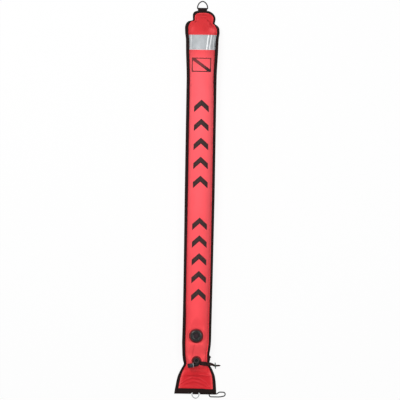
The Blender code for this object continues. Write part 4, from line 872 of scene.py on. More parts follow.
def coated_nylon():
    """Plain-weave nylon dipped in polyurethane: threads that show faintly under a satin film, and faint random
    blotches.
    Along the buoy its colour holds painted light and shade: a paler red between the band and the waist for a painted
    sheen where the gas stretches the cloth, a paler red at the waist for painted light, and a duller, darker red for
    painted shade at the head and at the mouth. The mesh's tone adds painted highlights and painted shade on top. The
    real threads are 0.4 mm apart and too fine to show, so they are drawn coarser."""
    settings = cloth()
    red, sheen, mouth_shade, shaded_crown = settings.red, settings.sheen_red, settings.shaded_mouth_red, settings.shaded_crown_red
    mat, tree, shader = new_material("coated nylon, signal red", red, 0.58, Specular_IOR_Level=0.2)
    solid = in_space(tree)
    weave = plain_weave(tree, on_surface(tree))
    cloud = noise(tree, solid, 60 * MM, 4.0)

    def part_sheen(share, other=red):
        return [share * a + (1 - share) * b for a, b in zip(sheen, other)]

    # Painted light and shade along the buoy: painted shade at the mouth, painted light at the waist, a painted sheen on
    # the body, painted shade at the head
    stops = (
        (-0.795, mouth_shade),
        (-0.765, red),
        (-0.735, settings.lit_waist_red),
        (-0.66, settings.lit_waist_red),
        (-0.56, part_sheen(0.4)),
        (-0.20, part_sheen(0.7)),
        (0.35, sheen),
        (0.60, sheen),
        (0.67, part_sheen(0.5, shaded_crown)),
        (0.765, shaded_crown),
    )
    colour = graded(tree, axis_of(tree, solid, "Y"), -0.9, 0.9, stops)
    tone = tone_of(tree)
    # The mesh's tone paints highlights paler and shade darker
    for share, other in (
        (ramp(tree, tone, 0, 1.3, 0.85), settings.highlight_red),
        (ramp(tree, tone, 0, -1.1, 0.7), shade(mouth_shade, 0.5)),
        (ramp(tree, cloud, 0.35, 0.75, 0.10), shade(red, 0.8)),
        (maths(tree, "MULTIPLY", weave, 0.10), shade(red, 0.6)),
    ):
        colour = blend_colours(tree, share, colour, other)
    paint(tree, shader, colour, ramp(tree, cloud, -2.4, 1.6))
    height = maths(tree, "MULTIPLY_ADD", weave, 0.25, noise(tree, solid, 16 * MM, 2.0))
    bump(tree, shader, height, 0.5 * MM, 0.6)
    return mat


def patch_nylon():
    """The same nylon, doubled and welded, dark red where the glue and the weld show through."""
    red = cloth().patch_red
    mat, tree, shader = new_material("welded nylon patch, dark red", red, 0.55, Specular_IOR_Level=0.2)
    solid = in_space(tree)
    paint(tree, shader, blend_colours(tree, noise(tree, solid, 9 * MM), shade(red, 0.8), shade(red, 1.15)))
    bump(tree, shader, plain_weave(tree, solid), 0.25 * MM, 0.5)
    return mat


def polyester_webbing(name, colour, own_uv=True, pitch=1.8 * MM):
    """Woven polyester tape: matt ribs across it, crossed by slanting yarns, a faint brown where light catches the
    fuzz. Real yarns are 0.5 mm apart, drawn coarser."""
    mat, tree, shader = new_material(name, colour, 0.88, Specular_IOR_Level=0.12)
    place = on_surface(tree) if own_uv else in_space(tree)
    ribs = threads(tree, place, pitch, "Y")
    twill = threads(tree, place, pitch * 1.5, "X", 40)
    fuzz = ramp(tree, noise(tree, place, 5 * MM, 5.0), 0.35, 0.7)
    base = blend_colours(tree, fuzz, shade(colour, 0.75), shade(colour, 1.5))
    paint(tree, shader, blend_colours(tree, maths(tree, "MULTIPLY", ribs, 0.3), base, shade(colour, 2.1)))
    bump(tree, shader, maths(tree, "MULTIPLY_ADD", twill, 0.6, ribs), 0.45 * MM, 0.8)
    return mat


def retroreflective_tape():
    """Glass beads in a clear resin on silver foil: an even soft grey with a lattice of heat-welded lines, and painted
    highlights: white along the ridges where it is buckled, paler along its ends and its top and bottom edges. Real
    beads are 0.06 mm, drawn coarser as sparkle."""
    silver = cloth().silver
    mat, tree, shader = new_material("retroreflective tape, glass beads on silver", silver, 0.5)
    place, solid = on_surface(tree), in_space(tree)
    x, y = axis_of(tree, solid, "X"), axis_of(tree, solid, "Y")
    beads = add_node(tree, "ShaderNodeTexVoronoi", {"Vector": place, "Scale": 1 / (0.9 * MM)}, voronoi_dimensions="2D")
    cloud = ramp(tree, noise(tree, place, 26 * MM), 0.3, 0.7)
    lines = ramp(tree, crossed(tree, place, 7 * MM, 30), 0.93, 1.0)
    middle_y = (BAND_TOP_Y + BAND_BOTTOM_Y) / 2
    from_middle = maths(tree, "ABSOLUTE", maths(tree, "ADD", y, -middle_y))
    # painted highlights: paler towards the band's ends and its top and bottom edges
    flashes = [ramp(tree, maths(tree, "ABSOLUTE", x), 0.058, 0.072, 0.3), ramp(tree, from_middle, 0.0315, 0.0345, 0.45)]
    # painted highlights: white along the ridges where the band buckles
    for middle, lean, depth, width in BAND_RIDGES:
        if depth > 0.3:
            slanted = maths(tree, "MULTIPLY_ADD", y, -lean, RIDGE_Y * lean - middle * MM)
            away = maths(tree, "ABSOLUTE", maths(tree, "ADD", x, slanted))
            flashes.append(ramp(tree, away, 1.5 * width * MM, 0.2 * width * MM, min(1.0, 1.3 * depth)))
    flash = flashes[0]
    for other in flashes[1:]:
        flash = maths(tree, "MAXIMUM", flash, other)
    base = blend_colours(tree, cloud, shade(silver, 0.86), shade(silver, 1.12))
    lattice = blend_colours(tree, maths(tree, "MULTIPLY", lines, 0.22), base, shade(silver, 1.6))
    paint(tree, shader, blend_colours(tree, flash, lattice, (0.9, 0.91, 0.92)))
    sealed_lines = maths(tree, "MULTIPLY", lines, 0.5)
    height = maths(tree, "MULTIPLY_ADD", beads.outputs["Distance"], 0.4, sealed_lines)
    bump(tree, shader, height, 0.2 * MM, 0.5)
    return mat


def moulded(name, colour, roughness=0.42, grain=0.7 * MM, depth=0.06 * MM, wear=1.5, shine=0.25, painted_light=0.0):
    """Injection-moulded plastic or rubber: a fine spark-eroded grain and a faint paler bloom from handling. Where the
    mesh holds a tone, a painted highlight pales it by the given factor.
    """
    mat, tree, shader = new_material(name, colour, roughness, Specular_IOR_Level=shine)
    place = in_space(tree)
    bloom = noise(tree, place, 9 * MM, 4.0)
    base = blend_colours(tree, ramp(tree, bloom, 0.45, 0.8), colour, shade(colour, wear))
    if painted_light:
        # painted highlight where the mesh holds a tone
        base = blend_colours(tree, tone_of(tree), base, shade(colour, painted_light))
    paint(tree, shader, base, maths(tree, "MULTIPLY_ADD", bloom, 0.3, roughness - 0.15))
    bump(tree, shader, noise(tree, place, grain, 2.0), depth, 0.7)
    return mat


def darker_ended_silicone():
    """Moulded silicone: a soft dark teal, turning a darker red brown towards the end that is held between the teeth."""
    teal, end_colour = fittings().silicone, fittings().bite
    mat, tree, shader = new_material("moulded silicone, dark teal", teal, 0.4, Specular_IOR_Level=0.18)
    place = in_space(tree)
    cloud = noise(tree, place, 4 * MM, 4.0)
    # darker red brown towards the outer end
    stops = ((-0.040, end_colour), (-0.0325, end_colour), (-0.0275, teal))
    along_colour = graded(tree, axis_of(tree, place, "X"), -0.042, -0.016, stops)
    base = blend_colours(tree, ramp(tree, cloud, 0.4, 0.75, 0.5), along_colour, shade(end_colour, 0.8))
    paint(tree, shader, base, ramp(tree, cloud, -1.0, 2.4))
    bump(tree, shader, noise(tree, place, 1.4 * MM, 2.0), 0.06 * MM, 0.7)
    return mat


def drawn_steel(name, colour, roughness, metallic, **extra):
    """Drawn and welded round bar: small worn spots and dents that break up and soften its highlight."""
    mat, tree, shader = new_material(name, colour, roughness, metallic, **extra)
    worn = noise(tree, in_space(tree), 2.0 * MM, 5.0)
    base = blend_colours(tree, ramp(tree, worn, 0.5, 0.75), shade(colour, 0.8), shade(colour, 1.15))
    paint(tree, shader, base, maths(tree, "MULTIPLY_ADD", worn, 0.3, roughness - 0.12))
    bump(tree, shader, worn, 0.05 * MM, 0.5)
    return mat


def braided_elastic():
    """Rubber core in a braided polyester sleeve: slanting yarns that cross, seen as small scales."""
    colour = tapes().cord_grey
    mat, tree, shader = new_material("elastic cord, braided sleeve", colour, 0.8, Specular_IOR_Level=0.15)
    braid = crossed(tree, on_surface(tree), 1.6 * MM, 52)
    paint(tree, shader, blend_colours(tree, braid, shade(colour, 0.5), shade(colour, 1.5)))
    bump(tree, shader, braid, 0.4 * MM, 0.9)
    return mat


def printed_ink():
    """Screen-printed ink on the nylon: matt, over the cloth's threads, with the red showing through where the ink is
    thin, and all over the frame near the band."""
    colour = cloth().ink
    mat, tree, shader = new_material("screen print, black", colour, 0.6, Specular_IOR_Level=0.2)
    place = in_space(tree)
    thin = ramp(tree, noise(tree, place, 3.5 * MM, 5.0), 0.62, 0.8, 0.35)
    worn = maths(tree, "ADD", ramp(tree, axis_of(tree, place, "Y"), 0.59, 0.61, 0.13), thin)
    # the red that shows through thin ink is the stretched body's colour, with its painted sheen
    paint(tree, shader, blend_colours(tree, worn, colour, cloth().sheen_red))
    bump(tree, shader, plain_weave(tree, place), 0.12 * MM, 0.6)
    return mat


def clear_film():
    """Calendered polyurethane film: glossy and slightly cloudy, tinted by the bag."""
    colour = cloth().film
    mat, tree, shader = new_material("polyurethane film, red", colour, 0.28)
    cloud = noise(tree, on_surface(tree), 22 * MM)
    paint(tree, shader, blend_colours(tree, cloud, shade(colour, 0.8), shade(colour, 1.1)))
    bump(tree, shader, cloud, 0.8 * MM, 0.4)
    return mat


FINISHES = {}


def finish_of(key):
    """Makes each finish once and keeps it by its key."""
    fit, low = fittings(), {"Specular_IOR_Level": 0.1}
    makers = {
        "nylon": coated_nylon,
        "patch": patch_nylon,
        "webbing": lambda: polyester_webbing("woven polyester tape, black", tapes().black),
        "thread": lambda: polyester_webbing("bonded polyester thread", tapes().thread_black, False, 0.4 * MM),
        "reflective": retroreflective_tape,
        "ink": printed_ink,
        "film": clear_film,
        "elastic": braided_elastic,
        "black": lambda: moulded("glass-filled nylon, black", fit.nylon, 0.3, shine=0.14),
        "cap": lambda: moulded("nylon, black and polished", fit.nylon, 0.2, shine=0.32),
        "knob": lambda: moulded("nylon, purple black", fit.knob, 0.35, shine=0.14),
        # the nut's rim crest gets a painted highlight
        "nut": lambda: moulded("glass-filled nylon, grey brown", fit.nut, 0.4, shine=0.1, painted_light=7.0),
        # painted highlight: the lock ring's light grey stands for the light along its rim
        "collar": lambda: moulded("acetal, light grey", fit.collar, 0.35, wear=1.1),
        "silicone": darker_ended_silicone,
        # painted highlight: the bar's lighter grey green stands for the light on it
        "toggle": lambda: moulded("acetal, grey green", fit.toggle, 0.35, wear=1.2),
        "rubber": lambda: moulded("moulded rubber, black brown", fit.strap, 0.6, 1.2 * MM, 0.1 * MM, shine=0.08),
        "steel": lambda: drawn_steel("stainless steel, drawn", fit.steel, 0.25, 1.0),
        "black steel": lambda: drawn_steel("steel, black electrocoat", fit.black_steel, 0.4, 0.0, **low),
    }
    if key not in FINISHES:
        FINISHES[key] = makers[key]()
    return FINISHES[key]


# Operators, one for each piece or group of like pieces


def seen_rays(tree):
    """1 for rays from the camera, off a glossy surface or through a clear one, and 0 for others."""
    rays = add_node(tree, "ShaderNodeLightPath").outputs
    bounced = maths(tree, "MAXIMUM", rays["Is Glossy Ray"], rays["Is Transmission Ray"])
    return maths(tree, "MAXIMUM", rays["Is Camera Ray"], bounced)


def mix_into(tree, output, share, a, b):
    """Leads a mix of two shaders into an output."""
    mix = add_node(tree, "ShaderNodeMixShader", {0: share, 1: a.outputs[0], 2: b.outputs[0]})
    tree.links.new(mix.outputs[0], tree.nodes[output].inputs["Surface"])


class BUOY_OT_stage(bpy.types.Operator):
    """Pale floor, soft studio light and the camera straight above the front face"""

    bl_idname = "buoy.stage"
    bl_label = "Stage and camera"

    def execute(self, context):
        scene = context.scene
        settings = scene.buoy_stage
        white = (1, 1, 1, 1)
        scene.view_settings.view_transform = "Standard"
        data = bpy.data.cameras.new("camera")
        data.lens = settings.lens
        data.sensor_width = 36
        distance = settings.frame_width * settings.lens / data.sensor_width
        data.clip_end = 3 * distance
        camera = add_object("camera", data)
        camera.location = Vector(settings.aim) + Vector((0, 0, distance))
        camera.rotation_euler = (0, 0, settings.roll)
        scene.camera = camera

        world = bpy.data.worlds.new("studio")
        scene.world = world
        world.use_nodes = True
        tree = world.node_tree
        shown = tree.nodes["Background"]
        shown.inputs["Color"].default_value = white
        shown.inputs["Strength"].default_value = 1
        lit = add_node(tree, "ShaderNodeBackground", {"Color": white, "Strength": settings.world_light})
        mix_into(tree, "World Output", seen_rays(tree), lit, shown)

        mesh = bpy.data.meshes.new("floor")
        far, level = 14.0, -0.4 * MM
        corners = [(x * far, y * far, level) for x, y in ((-1, -1), (1, -1), (1, 1), (-1, 1))]
        mesh.from_pydata(corners, [], [(0, 1, 2, 3)])
        floor = add_object("floor", mesh)
        mat = bpy.data.materials.new("studio paper, pale")
        mat.use_nodes = True
        tree = mat.node_tree
        tree.nodes.remove(tree.nodes["Principled BSDF"])
        grain = noise(tree, in_space(tree), 0.4, 2.0)
        colour = blend_colours(tree, grain, shade(settings.floor, 0.98), settings.floor)
        paper = add_node(tree, "ShaderNodeBsdfDiffuse", {"Color": colour})
        glow = add_node(tree, "ShaderNodeEmission", {"Color": white, "Strength": 1.0})
        mix_into(tree, "Material Output", maths(tree, "MULTIPLY", seen_rays(tree), 0.9), paper, glow)
        mesh.materials.append(mat)

        for name, place, power in (
            ("key", (-1.9, 1.5, 4.4), settings.key_light),
            ("fill", (2.0, 0.4, 4.4), settings.fill_light),
        ):
            light = bpy.data.lights.new(name, "AREA")
            light.shape = "RECTANGLE"
            light.size, light.size_y = 1.6, 2.6
            light.energy = power
            lamp = add_object(name, light)
            lamp.location = place
            lamp.rotation_euler = (-lamp.location).to_track_quat("-Z", "Y").to_euler()
            lamp.visible_camera = False
        return {"FINISHED"}


class BUOY_OT_elastic_loop(bpy.types.Operator):
    """The elastic cord that is sewn in at the mouth and hooks over the toggle"""

    bl_idname = "buoy.elastic_loop"
    bl_label = "Elastic loop"

    def execute(self, context):
        diameter = tapes().cord
        path = smooth_path([(x, y, diameter * 0.55) for x, y in LOOP_ROUTE], 2.5 * MM)
        grid, uv = tube_grid(path, diameter / 2, around=14)
        surface = Surface().grid(grid, close_columns=True, cap_rows=True, flip=True, uv=uv)
        piece = add_piece(surface, "elastic_loop_cord", "elastic", ("elastic_loop",))
        return {"FINISHED"}


class BUOY_OT_panels(bpy.types.Operator):
    """The front and back panels of coated nylon, swollen by the gas between them"""

    bl_idname = "buoy.panels"
    bl_label = "Front and back panels"

    def execute(self, context):
        settings = cloth()
        share = np.linspace(-1, 1, settings.columns + 1)[None, :]
        for name, node, end_y, side, face in (
            ("front_cloth", "front_panel", FRONT_END_Y, 1, front_face),
            ("back_cloth", "back_panel", BACK_END_Y, -1, back_face),
        ):
            edge, between, y = (a[:, None] for a in panel_rows(end_y + tapes().thickness + GAP))
            shares, ys = np.broadcast_arrays(share, y)
            grid = face(shares, ys, np.broadcast_to(between, ys.shape))
            grid = self.with_margins(grid, edge[:, 0], y[:, 0], side)
            # painted light and shade for the front cloth, read by its finish through the tone
            tone = np.pad(painted_light(shares, ys), ((0, 0), (1, 1))) if side > 0 else None
            surface = Surface().grid(grid, flip=side < 0, tone=tone)
            if side > 0:
                self.open_holes(surface)
            add_piece(surface, name, "nylon", (node,), settings.fabric)
        return {"FINISHED"}

    def with_margins(self, grid, edge, y, side):
        """Adds the sewn margin's outer edge at both ends of each row."""
        level = seam_at(y) + side * seam_margin(y)
        ends = [askew(sign * edge, y, level)[:, None] for sign in (-1, 1)]
        return np.concatenate([ends[0], grid, ends[1]], axis=1)

    def open_holes(self, surface):
        """Leaves out the faces under the necks of the valve and the inflator."""
        points, faces = surface.points[0], surface.faces[0]
        middle = points[faces].mean(axis=1)
        keep = np.ones(len(faces), dtype=bool)
        for (x, y, _), radius in ((VALVE, 21 * MM), (INFLATOR, 12.5 * MM)):
            keep &= np.hypot(middle[:, 0] - x, middle[:, 1] - y) > radius
        surface.faces[0] = faces[keep]


def edge_tape_rows():
    """(outer half-width, its y, inner half-width, its y) of the edge tape's rows."""
    y = long_rows(BACK_END_Y)[:-1]
    outer = curve_through(HALF_WIDTH, y)
    outer_x, outer_y = corner(0, 0)
    inner_x, inner_y = corner(tapes().crown_width, tapes().head_width)
    return (
        np.concatenate([outer, outer_x]),
        np.concatenate([y, outer_y]),
        np.concatenate([outer - tape_width(y), inner_x]),
        np.concatenate([y, inner_y]),
    )


def edge_tape_grid(section):
    """The edge tape from the mouth's right corner round the head to its left corner: each row runs from the tape's
    inner edge to its fold, and section gives (distance back from the fold, height, share of the way) points."""
    outer, y, inner, inner_y = (a[:, None] for a in edge_tape_rows())
    wide = np.hypot(outer - inner, y - inner_y)
    seam, inner_seam = seam_at(y), seam_at(inner_y)
    sides = []
    for sign, trim in ((1, TRIM_RIGHT), (-1, TRIM_LEFT)):
        back, height = section(wide - curve_through(trim, y))
        x = outer - (outer - inner) / wide * back
        at = y - (y - inner_y) / wide * back
        level = seam + (inner_seam - seam) * back / wide + height * steepness(y)
        sides.append(askew(sign * x, at, level))
    return np.concatenate([sides[0], sides[1][::-1]])


def folded_tape(wide, middle, around=9, bulge=0.0, plump=0.0):
    """(distance back from the fold, height) of a tape folded round the margin: top leg, half turn, bottom leg. The
    middle is half of what the fold holds; the half turn is wider by bulge and higher by plump."""
    leg = middle + np.linspace(1, 0, 6)[None, :-1] * (wide - middle)
    turn = np.linspace(math.pi / 2, -math.pi / 2, around)[None, :] + 0 * wide
    level = np.full_like(leg, middle)
    back = np.concatenate([leg, middle - (middle + bulge) * np.cos(turn), leg[:, ::-1]], axis=1)
    return back, np.concatenate([level, (middle + plump) * np.sin(turn), -level], axis=1)


class BUOY_OT_edge_tape(bpy.types.Operator):
    """The tape that is folded round the sewn margins, with its two lines of stitches on each face"""

    bl_idname = "buoy.edge_tape"
    bl_label = "Edge tape"

    def execute(self, context):
        wall = tapes().thickness
        middle = half_seam() + GAP + wall / 2
        surface = Surface().grid(edge_tape_grid(lambda wide: folded_tape(wide, middle)), flip=True)
        add_piece(surface, "edge_tape", "webbing", ("edge_binding",), wall, wall_offset=0.0)
        stitches = Surface()
        for side in (1, -1):
            for inset in (2.6 * MM, 5.4 * MM):

                def seam(wide):
                    return np.maximum(wide - inset, wide * 0.35), 0 * wide + side * (middle + wall / 2)

                stitch_line(stitches, edge_tape_grid(seam)[:, 0], (0, 0, side))
        add_piece(stitches, "edge_stitching", "thread", sharp=80)
        return {"FINISHED"}


class BUOY_OT_hems(bpy.types.Operator):
    """The tapes turned over the front and back edges of the mouth"""

    bl_idname = "buoy.hems"
    bl_label = "Mouth hems"

    def execute(self, context):
        wall = tapes().thickness
        half_cloth = cloth().fabric / 2
        bend = half_cloth + GAP + wall / 2
        share = np.linspace(-0.997, 0.997, 81)
        turn = np.linspace(0, math.pi, 9)[1:]
        drop = np.concatenate([np.full(7, bend), bend * np.cos(turn), np.full(4, -bend)]) - half_cloth
        stitches = Surface()
        for name, node, side, top_y, end_y in (
            ("front_hem", "front_hem_tape", 1, FRONT_HEM_TOP_Y + 2 * MM, FRONT_END_Y),
            ("back_hem", "back_hem_tape", -1, BACK_HEM_TOP_Y, BACK_END_Y),
        ):
            fold_y = end_y + bend + wall / 2
            legs = np.linspace(fold_y, fold_y + 7 * MM, 5)[1:]
            run = np.concatenate([np.linspace(top_y, fold_y, 7), fold_y - bend * np.sin(turn), legs])
            rows = [self.line(share, y, side, lift) for y, lift in zip(run, drop)]
            surface = Surface().grid(np.array(rows), flip=side > 0)
            add_piece(surface, name, "webbing", (node,), wall, wall_offset=0.0)
            for y in (top_y - 2.2 * MM, end_y + 3 * MM):
                stitch_line(stitches, self.line(share, y, side, GAP + wall), (0, 0, side))
        add_piece(stitches, "hem_stitching", "thread", sharp=80)
        return {"FINISHED"}

    def line(self, share, y, side, lift):
        """Points across the mouth on the cloth's outer face, raised by lift. The front tape's upper edge lies lower
        at the right, and both tapes' ends lap over the edge tape."""
        lower = 2.2 * MM * ease((share - 0.3) / 0.45) * ease((y - FRONT_END_Y) / (10 * MM)) * (side > 0)
        ys = np.full((2, len(share)), y) - lower
        shares = np.broadcast_to(share, ys.shape)
        between = between_tapes(ys)
        if side > 0:
            x, z = front_arch(between, ys, shares)
            grid = askew(x, ys, seam_at(ys) + seam_margin(ys) + z)
        else:
            grid = back_face(shares, ys, between)
        lap = ease((np.abs(share) - 0.95) / 0.045)
        out = grid[0] + (0, 0, side * lift)
        out[:, 0] += np.sign(share) * lap * 2.4 * MM
        out[:, 2] += side * lap * (tapes().thickness + GAP) * (lift > 0)
        return out


class BUOY_OT_reflective_band(bpy.types.Operator):
    """The reflective band sewn across the front below the head"""

    bl_idname = "buoy.reflective_band"
    bl_label = "Reflective band"

    def execute(self, context):
        wall = cloth().band_thickness
        upper_y = BAND_TOP_Y - 2.2 * MM
        share, y = np.meshgrid(np.linspace(-0.985, 0.985, 101), np.linspace(BAND_BOTTOM_Y, upper_y, 36))
        grid = front_face(share, y, lift=GAP + wall)
        grid = np.concatenate([grid, grid[:, -1:] + np.array([2.2, 0, -0.3]) * MM], axis=1)
        add_piece(Surface().grid(grid), "reflective_strip", "reflective", ("reflective_band",), wall)
        stitches = Surface()
        shares = np.linspace(-0.93, 0.93, 120)[None].repeat(3, axis=0)
        for at in (BAND_BOTTOM_Y + 3 * MM, upper_y - 3 * MM):
            ys = at + np.array([-MM, 0, MM])[:, None] + 0 * shares
            line = front_face(shares, ys, lift=GAP + wall)[1]
            # Normals along the line: where a lift of 1 mm takes it, over 1 mm
            normals = (front_face(shares, ys, lift=MM)[1] - front_face(shares, ys)[1]) / MM
            stitch_line(stitches, line, normals)
        add_piece(stitches, "band_stitching", "thread", sharp=80)
        return {"FINISHED"}


class BUOY_OT_prints(bpy.types.Operator):
    """Plain printed marks: a framed diagonal stripe and two groups of chevrons"""

    bl_idname = "buoy.prints"
    bl_label = "Printed marks"

    def execute(self, context):
        surface = Surface()
        left, right, top, bottom = -40.5 * MM, 42 * MM, 640 * MM, 580.5 * MM
        corners = ((left, top), (right, top), (right, bottom), (left, bottom), (left, top))
        for a, b in zip(corners, corners[1:]):
            self.stroke(surface, a, b, 4.4 * MM)
        self.diagonal(surface, (left, top), (right, bottom), 14 * MM)
        for low, high in ((44 * MM, 474 * MM), (-467 * MM, -65 * MM)):
            for i in range(5):
                for sign in (-1, 1):
                    self.chevron_arm(surface, low + (high - low) / 5 * i + 8 * MM, sign)
        add_piece(surface, "printed_marks", "ink", wall=0.08 * MM)
        return {"FINISHED"}

    def stroke(self, surface, a, b, width):
        """A straight strip on the cloth, half a width longer at both ends: a + t (b - a), to half a width on both
        sides."""
        a, b = np.array(a), np.array(b)
        run = (b - a) / np.linalg.norm(b - a)
        a, b = a - run * width / 2, b + run * width / 2
        side = np.array([-run[1], run[0]])
        t, w = np.meshgrid(np.linspace(0, 1, 25), np.linspace(-0.5, 0.5, 3), indexing="ij")
        self.put(surface, a + t[..., None] * (b - a) + w[..., None] * width * side)

    def diagonal(self, surface, a, b, width):
        """A stripe from corner to corner whose ends follow the frame: at s along it, the frame's sides are s * rise
        and s / rise away to either side, with the rise of the diagonal."""
        a, b = np.array(a), np.array(b)
        length = np.linalg.norm(b - a)
        run = (b - a) / length
        side = np.array([-run[1], run[0]])
        s = np.linspace(0.6 * MM, length - 0.6 * MM, 61)
        rise = -run[1] / run[0]
        upper = np.minimum(width / 2, np.minimum(s * rise, (length - s) / rise))
        lower = np.minimum(width / 2, np.minimum(s / rise, (length - s) * rise))
        w = -lower[:, None] + (upper + lower)[:, None] * np.linspace(0, 1, 9)
        self.put(surface, a + s[:, None, None] * run + w[..., None] * side)

    def chevron_arm(self, surface, foot, sign):
        """Half of a chevron: its lower edge climbs from the side to the middle, a stroke's height under its top."""
        t, w = np.meshgrid(np.linspace(0, 1, 15), np.linspace(0, 1, 5), indexing="ij")
        centre, half, rise, thick = 4 * MM, 33 * MM, 30 * MM, 27 * MM
        self.put(surface, np.stack([centre + sign * half * (1 - t), foot + rise * t + thick * w], axis=-1))

    def put(self, surface, at):
        """Lays points (x, y) on the cloth, with their faces turned up."""
        x, y = at[..., 0], at[..., 1]
        grid = front_face(share_at(x, y), y, lift=0.14 * MM)
        upward = np.cross(grid[1, 0] - grid[0, 0], grid[0, 1] - grid[0, 0])[2] > 0
        surface.grid(grid, flip=not upward)


class BUOY_OT_baffles(bpy.types.Operator):
    """The two flaps of film inside the mouth that keep the gas in"""

    bl_idname = "buoy.baffles"
    bl_label = "Mouth baffles"

    def execute(self, context):
        root, lips, end = -805 * MM, -705 * MM, -675 * MM
        wall = 0.6 * MM
        lip = GAP / 2 + wall + 0.05 * MM
        clearance = cloth().fabric + GAP + 0.4 * MM
        share, y = np.meshgrid(np.linspace(-0.86, 0.86, 33), np.linspace(root, end, 40))
        between, seam = between_tapes(y), seam_at(y)
        x, z = front_arch(between, y, share)
        open_share = 1 - ease((y - root) / (lips - root))
        for name, node, side, face in (
            ("front_flap", "front_baffle", 1, np.minimum(seam + MM + z, landing(y))),
            ("back_flap", "back_baffle", -1, back_face(share, y, between)[..., 2]),
        ):
            away = np.maximum(0, side * (face - seam) - clearance - lip)
            grid = askew(x * 0.96, y, seam + side * (lip + open_share * away))
            add_piece(Surface().grid(grid, flip=side < 0), name, "film", (node,), wall)
        return {"FINISHED"}


class BUOY_OT_rings(bpy.types.Operator):
    """The two D-rings and the webbing tabs that hold them"""

    bl_idname = "buoy.rings"
    bl_label = "Rings and tabs"

    def execute(self, context):
        head_seam = float(seam_at(HEAD_Y))
        low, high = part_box("tail_ring")
        self.ring("head_d_ring", "head_ring", "black steel", HEAD_WIRE, 1, head_seam)
        self.ring("tail_d_ring", "tail_ring", "steel", TAIL_WIRE, -1, (low.z + high.z) / 2)
        webbing = tapes().webbing
        grip = half_seam() + GAP + tapes().thickness + GAP
        self.tab("head_webbing", "head_tab", 1, HEAD_WIRE, head_seam - grip, head_seam + grip)
        low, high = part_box("tail_tab")
        self.tab("tail_webbing", "tail_tab", -1, TAIL_WIRE, low.z + webbing, high.z - webbing)
        return {"FINISHED"}

    def ring(self, name, node, finish, wire, side, level):
        """D-shaped centre line: a straight bar, two quarter bends and a bow
        (half cos a, bend + reach sin a (1 - 0.03 sin^2 2a))."""
        low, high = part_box(node)
        bend = 3 * MM
        half = (high.x - low.x) / 2 - wire / 2
        bar_y = low.y + wire / 2 if side > 0 else high.y - wire / 2
        reach = high.y - low.y - wire - bend
        quarter = np.linspace(0, math.pi / 2, 9)[1:]
        bow = np.linspace(0, math.pi, 73)[1:-1]
        bar = np.linspace(-half + bend, half - bend, 12)
        right = np.stack([half - bend * (1 - np.sin(quarter)), bend * (1 - np.cos(quarter))], axis=-1)
        sharper = np.sin(bow) * (1 - 0.03 * np.sin(2 * bow) ** 2)
        arc = np.stack([half * np.cos(bow), bend + reach * sharper], axis=-1)
        flat = np.concatenate([np.stack([bar, 0 * bar], axis=-1), right, arc, right[::-1] * (-1, 1)])
        x = (low.x + high.x) / 2 + flat[:, 0]
        path = np.stack([x, bar_y + side * flat[:, 1], np.full(len(flat), level)], axis=-1)
        grid, uv = tube_grid(path, wire / 2, around=20, closed=True)
        surface = Surface().grid(grid, close_rows=True, close_columns=True, uv=uv, flip=True)
        add_piece(surface, name, finish, (node,), body=node)

    def tab(self, name, node, side, wire, leg_low, leg_high):
        """Webbing carried along a path in the Y-Z plane: the lower leg, half a turn round the bar, the upper leg."""
        webbing = tapes().webbing
        low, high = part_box(node)
        centre = (low.x + high.x) / 2
        half = (high.x - low.x) / 2 + (2 * MM if side > 0 else 0)
        radius = wire / 2 + GAP + webbing / 2
        bar_y = high.y - radius - webbing / 2 if side > 0 else low.y + radius + webbing / 2
        end_y = low.y if side > 0 else high.y
        bar_z = (leg_low + leg_high) / 2 if side > 0 else (low.z + radius + webbing / 2)
        turn = np.linspace(-math.pi / 2, math.pi / 2, 13)
        leg = np.linspace(end_y, bar_y, 10)[:-1]
        share = ease((leg - end_y) / (bar_y - end_y))
        lower = leg_low - webbing / 2 + (bar_z - radius - leg_low + webbing / 2) * share
        upper = leg_high + webbing / 2 + (bar_z + radius - leg_high - webbing / 2) * share
        y = np.concatenate([leg, bar_y + side * radius * np.cos(turn), leg[::-1]])
        z = np.concatenate([lower, bar_z + radius * np.sin(turn), upper[::-1]])
        x = np.linspace(centre - half, centre + half, 13)
        grid = np.stack(np.broadcast_arrays(x[None, :], y[:, None], z[:, None]), axis=-1)
        add_piece(Surface().grid(grid, flip=side > 0), name, "webbing", (node,), webbing, wall_offset=0.0)
        stitches = Surface()
        reach = (bar_y - end_y) * 0.45
        box = ((-0.8, 0.12), (0.8, 0.12), (0.8, 0.95), (-0.8, 0.95), (-0.8, 0.12), (0.8, 0.95))
        points = [(centre + x * half, end_y + y * reach, leg_high + webbing) for x, y in box]
        for a, b in zip(points, points[1:]):
            stitch_line(stitches, np.linspace(a, b, 12), (0, 0, 1), 2.6 * MM)
        add_piece(stitches, f"{name}_stitching", "thread", sharp=80)


class BUOY_OT_loop_tape(bpy.types.Operator):
    """The strip under the back hem that the elastic loop is sewn into"""

    bl_idname = "buoy.loop_tape"
    bl_label = "Loop tape"

    def execute(self, context):
        low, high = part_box("loop_tape")
        webbing, step_y = tapes().webbing, BACK_END_Y - GAP
        profile = (
            (high.y, webbing),
            (step_y + 2.5 * MM, webbing),
            (step_y - 0.2 * MM, webbing),
            (step_y - 1 * MM, high.z),
            (low.y + 1.2 * MM, high.z),
            (low.y, high.z - 1.4 * MM),
            (low.y, 1.2 * MM),
            (low.y + 1.2 * MM, 0),
            (high.y, 0),
        )
        y, z = np.array(profile).T
        x = np.linspace(low.x, high.x, 49)
        grid = np.stack(np.broadcast_arrays(x[:, None], y[None, :], z[None, :]), axis=-1)
        surface = Surface().grid(grid, close_columns=True, cap_rows=True)
        add_piece(surface, "loop_strip", "webbing", ("loop_tape",), sharp=30)
        return {"FINISHED"}


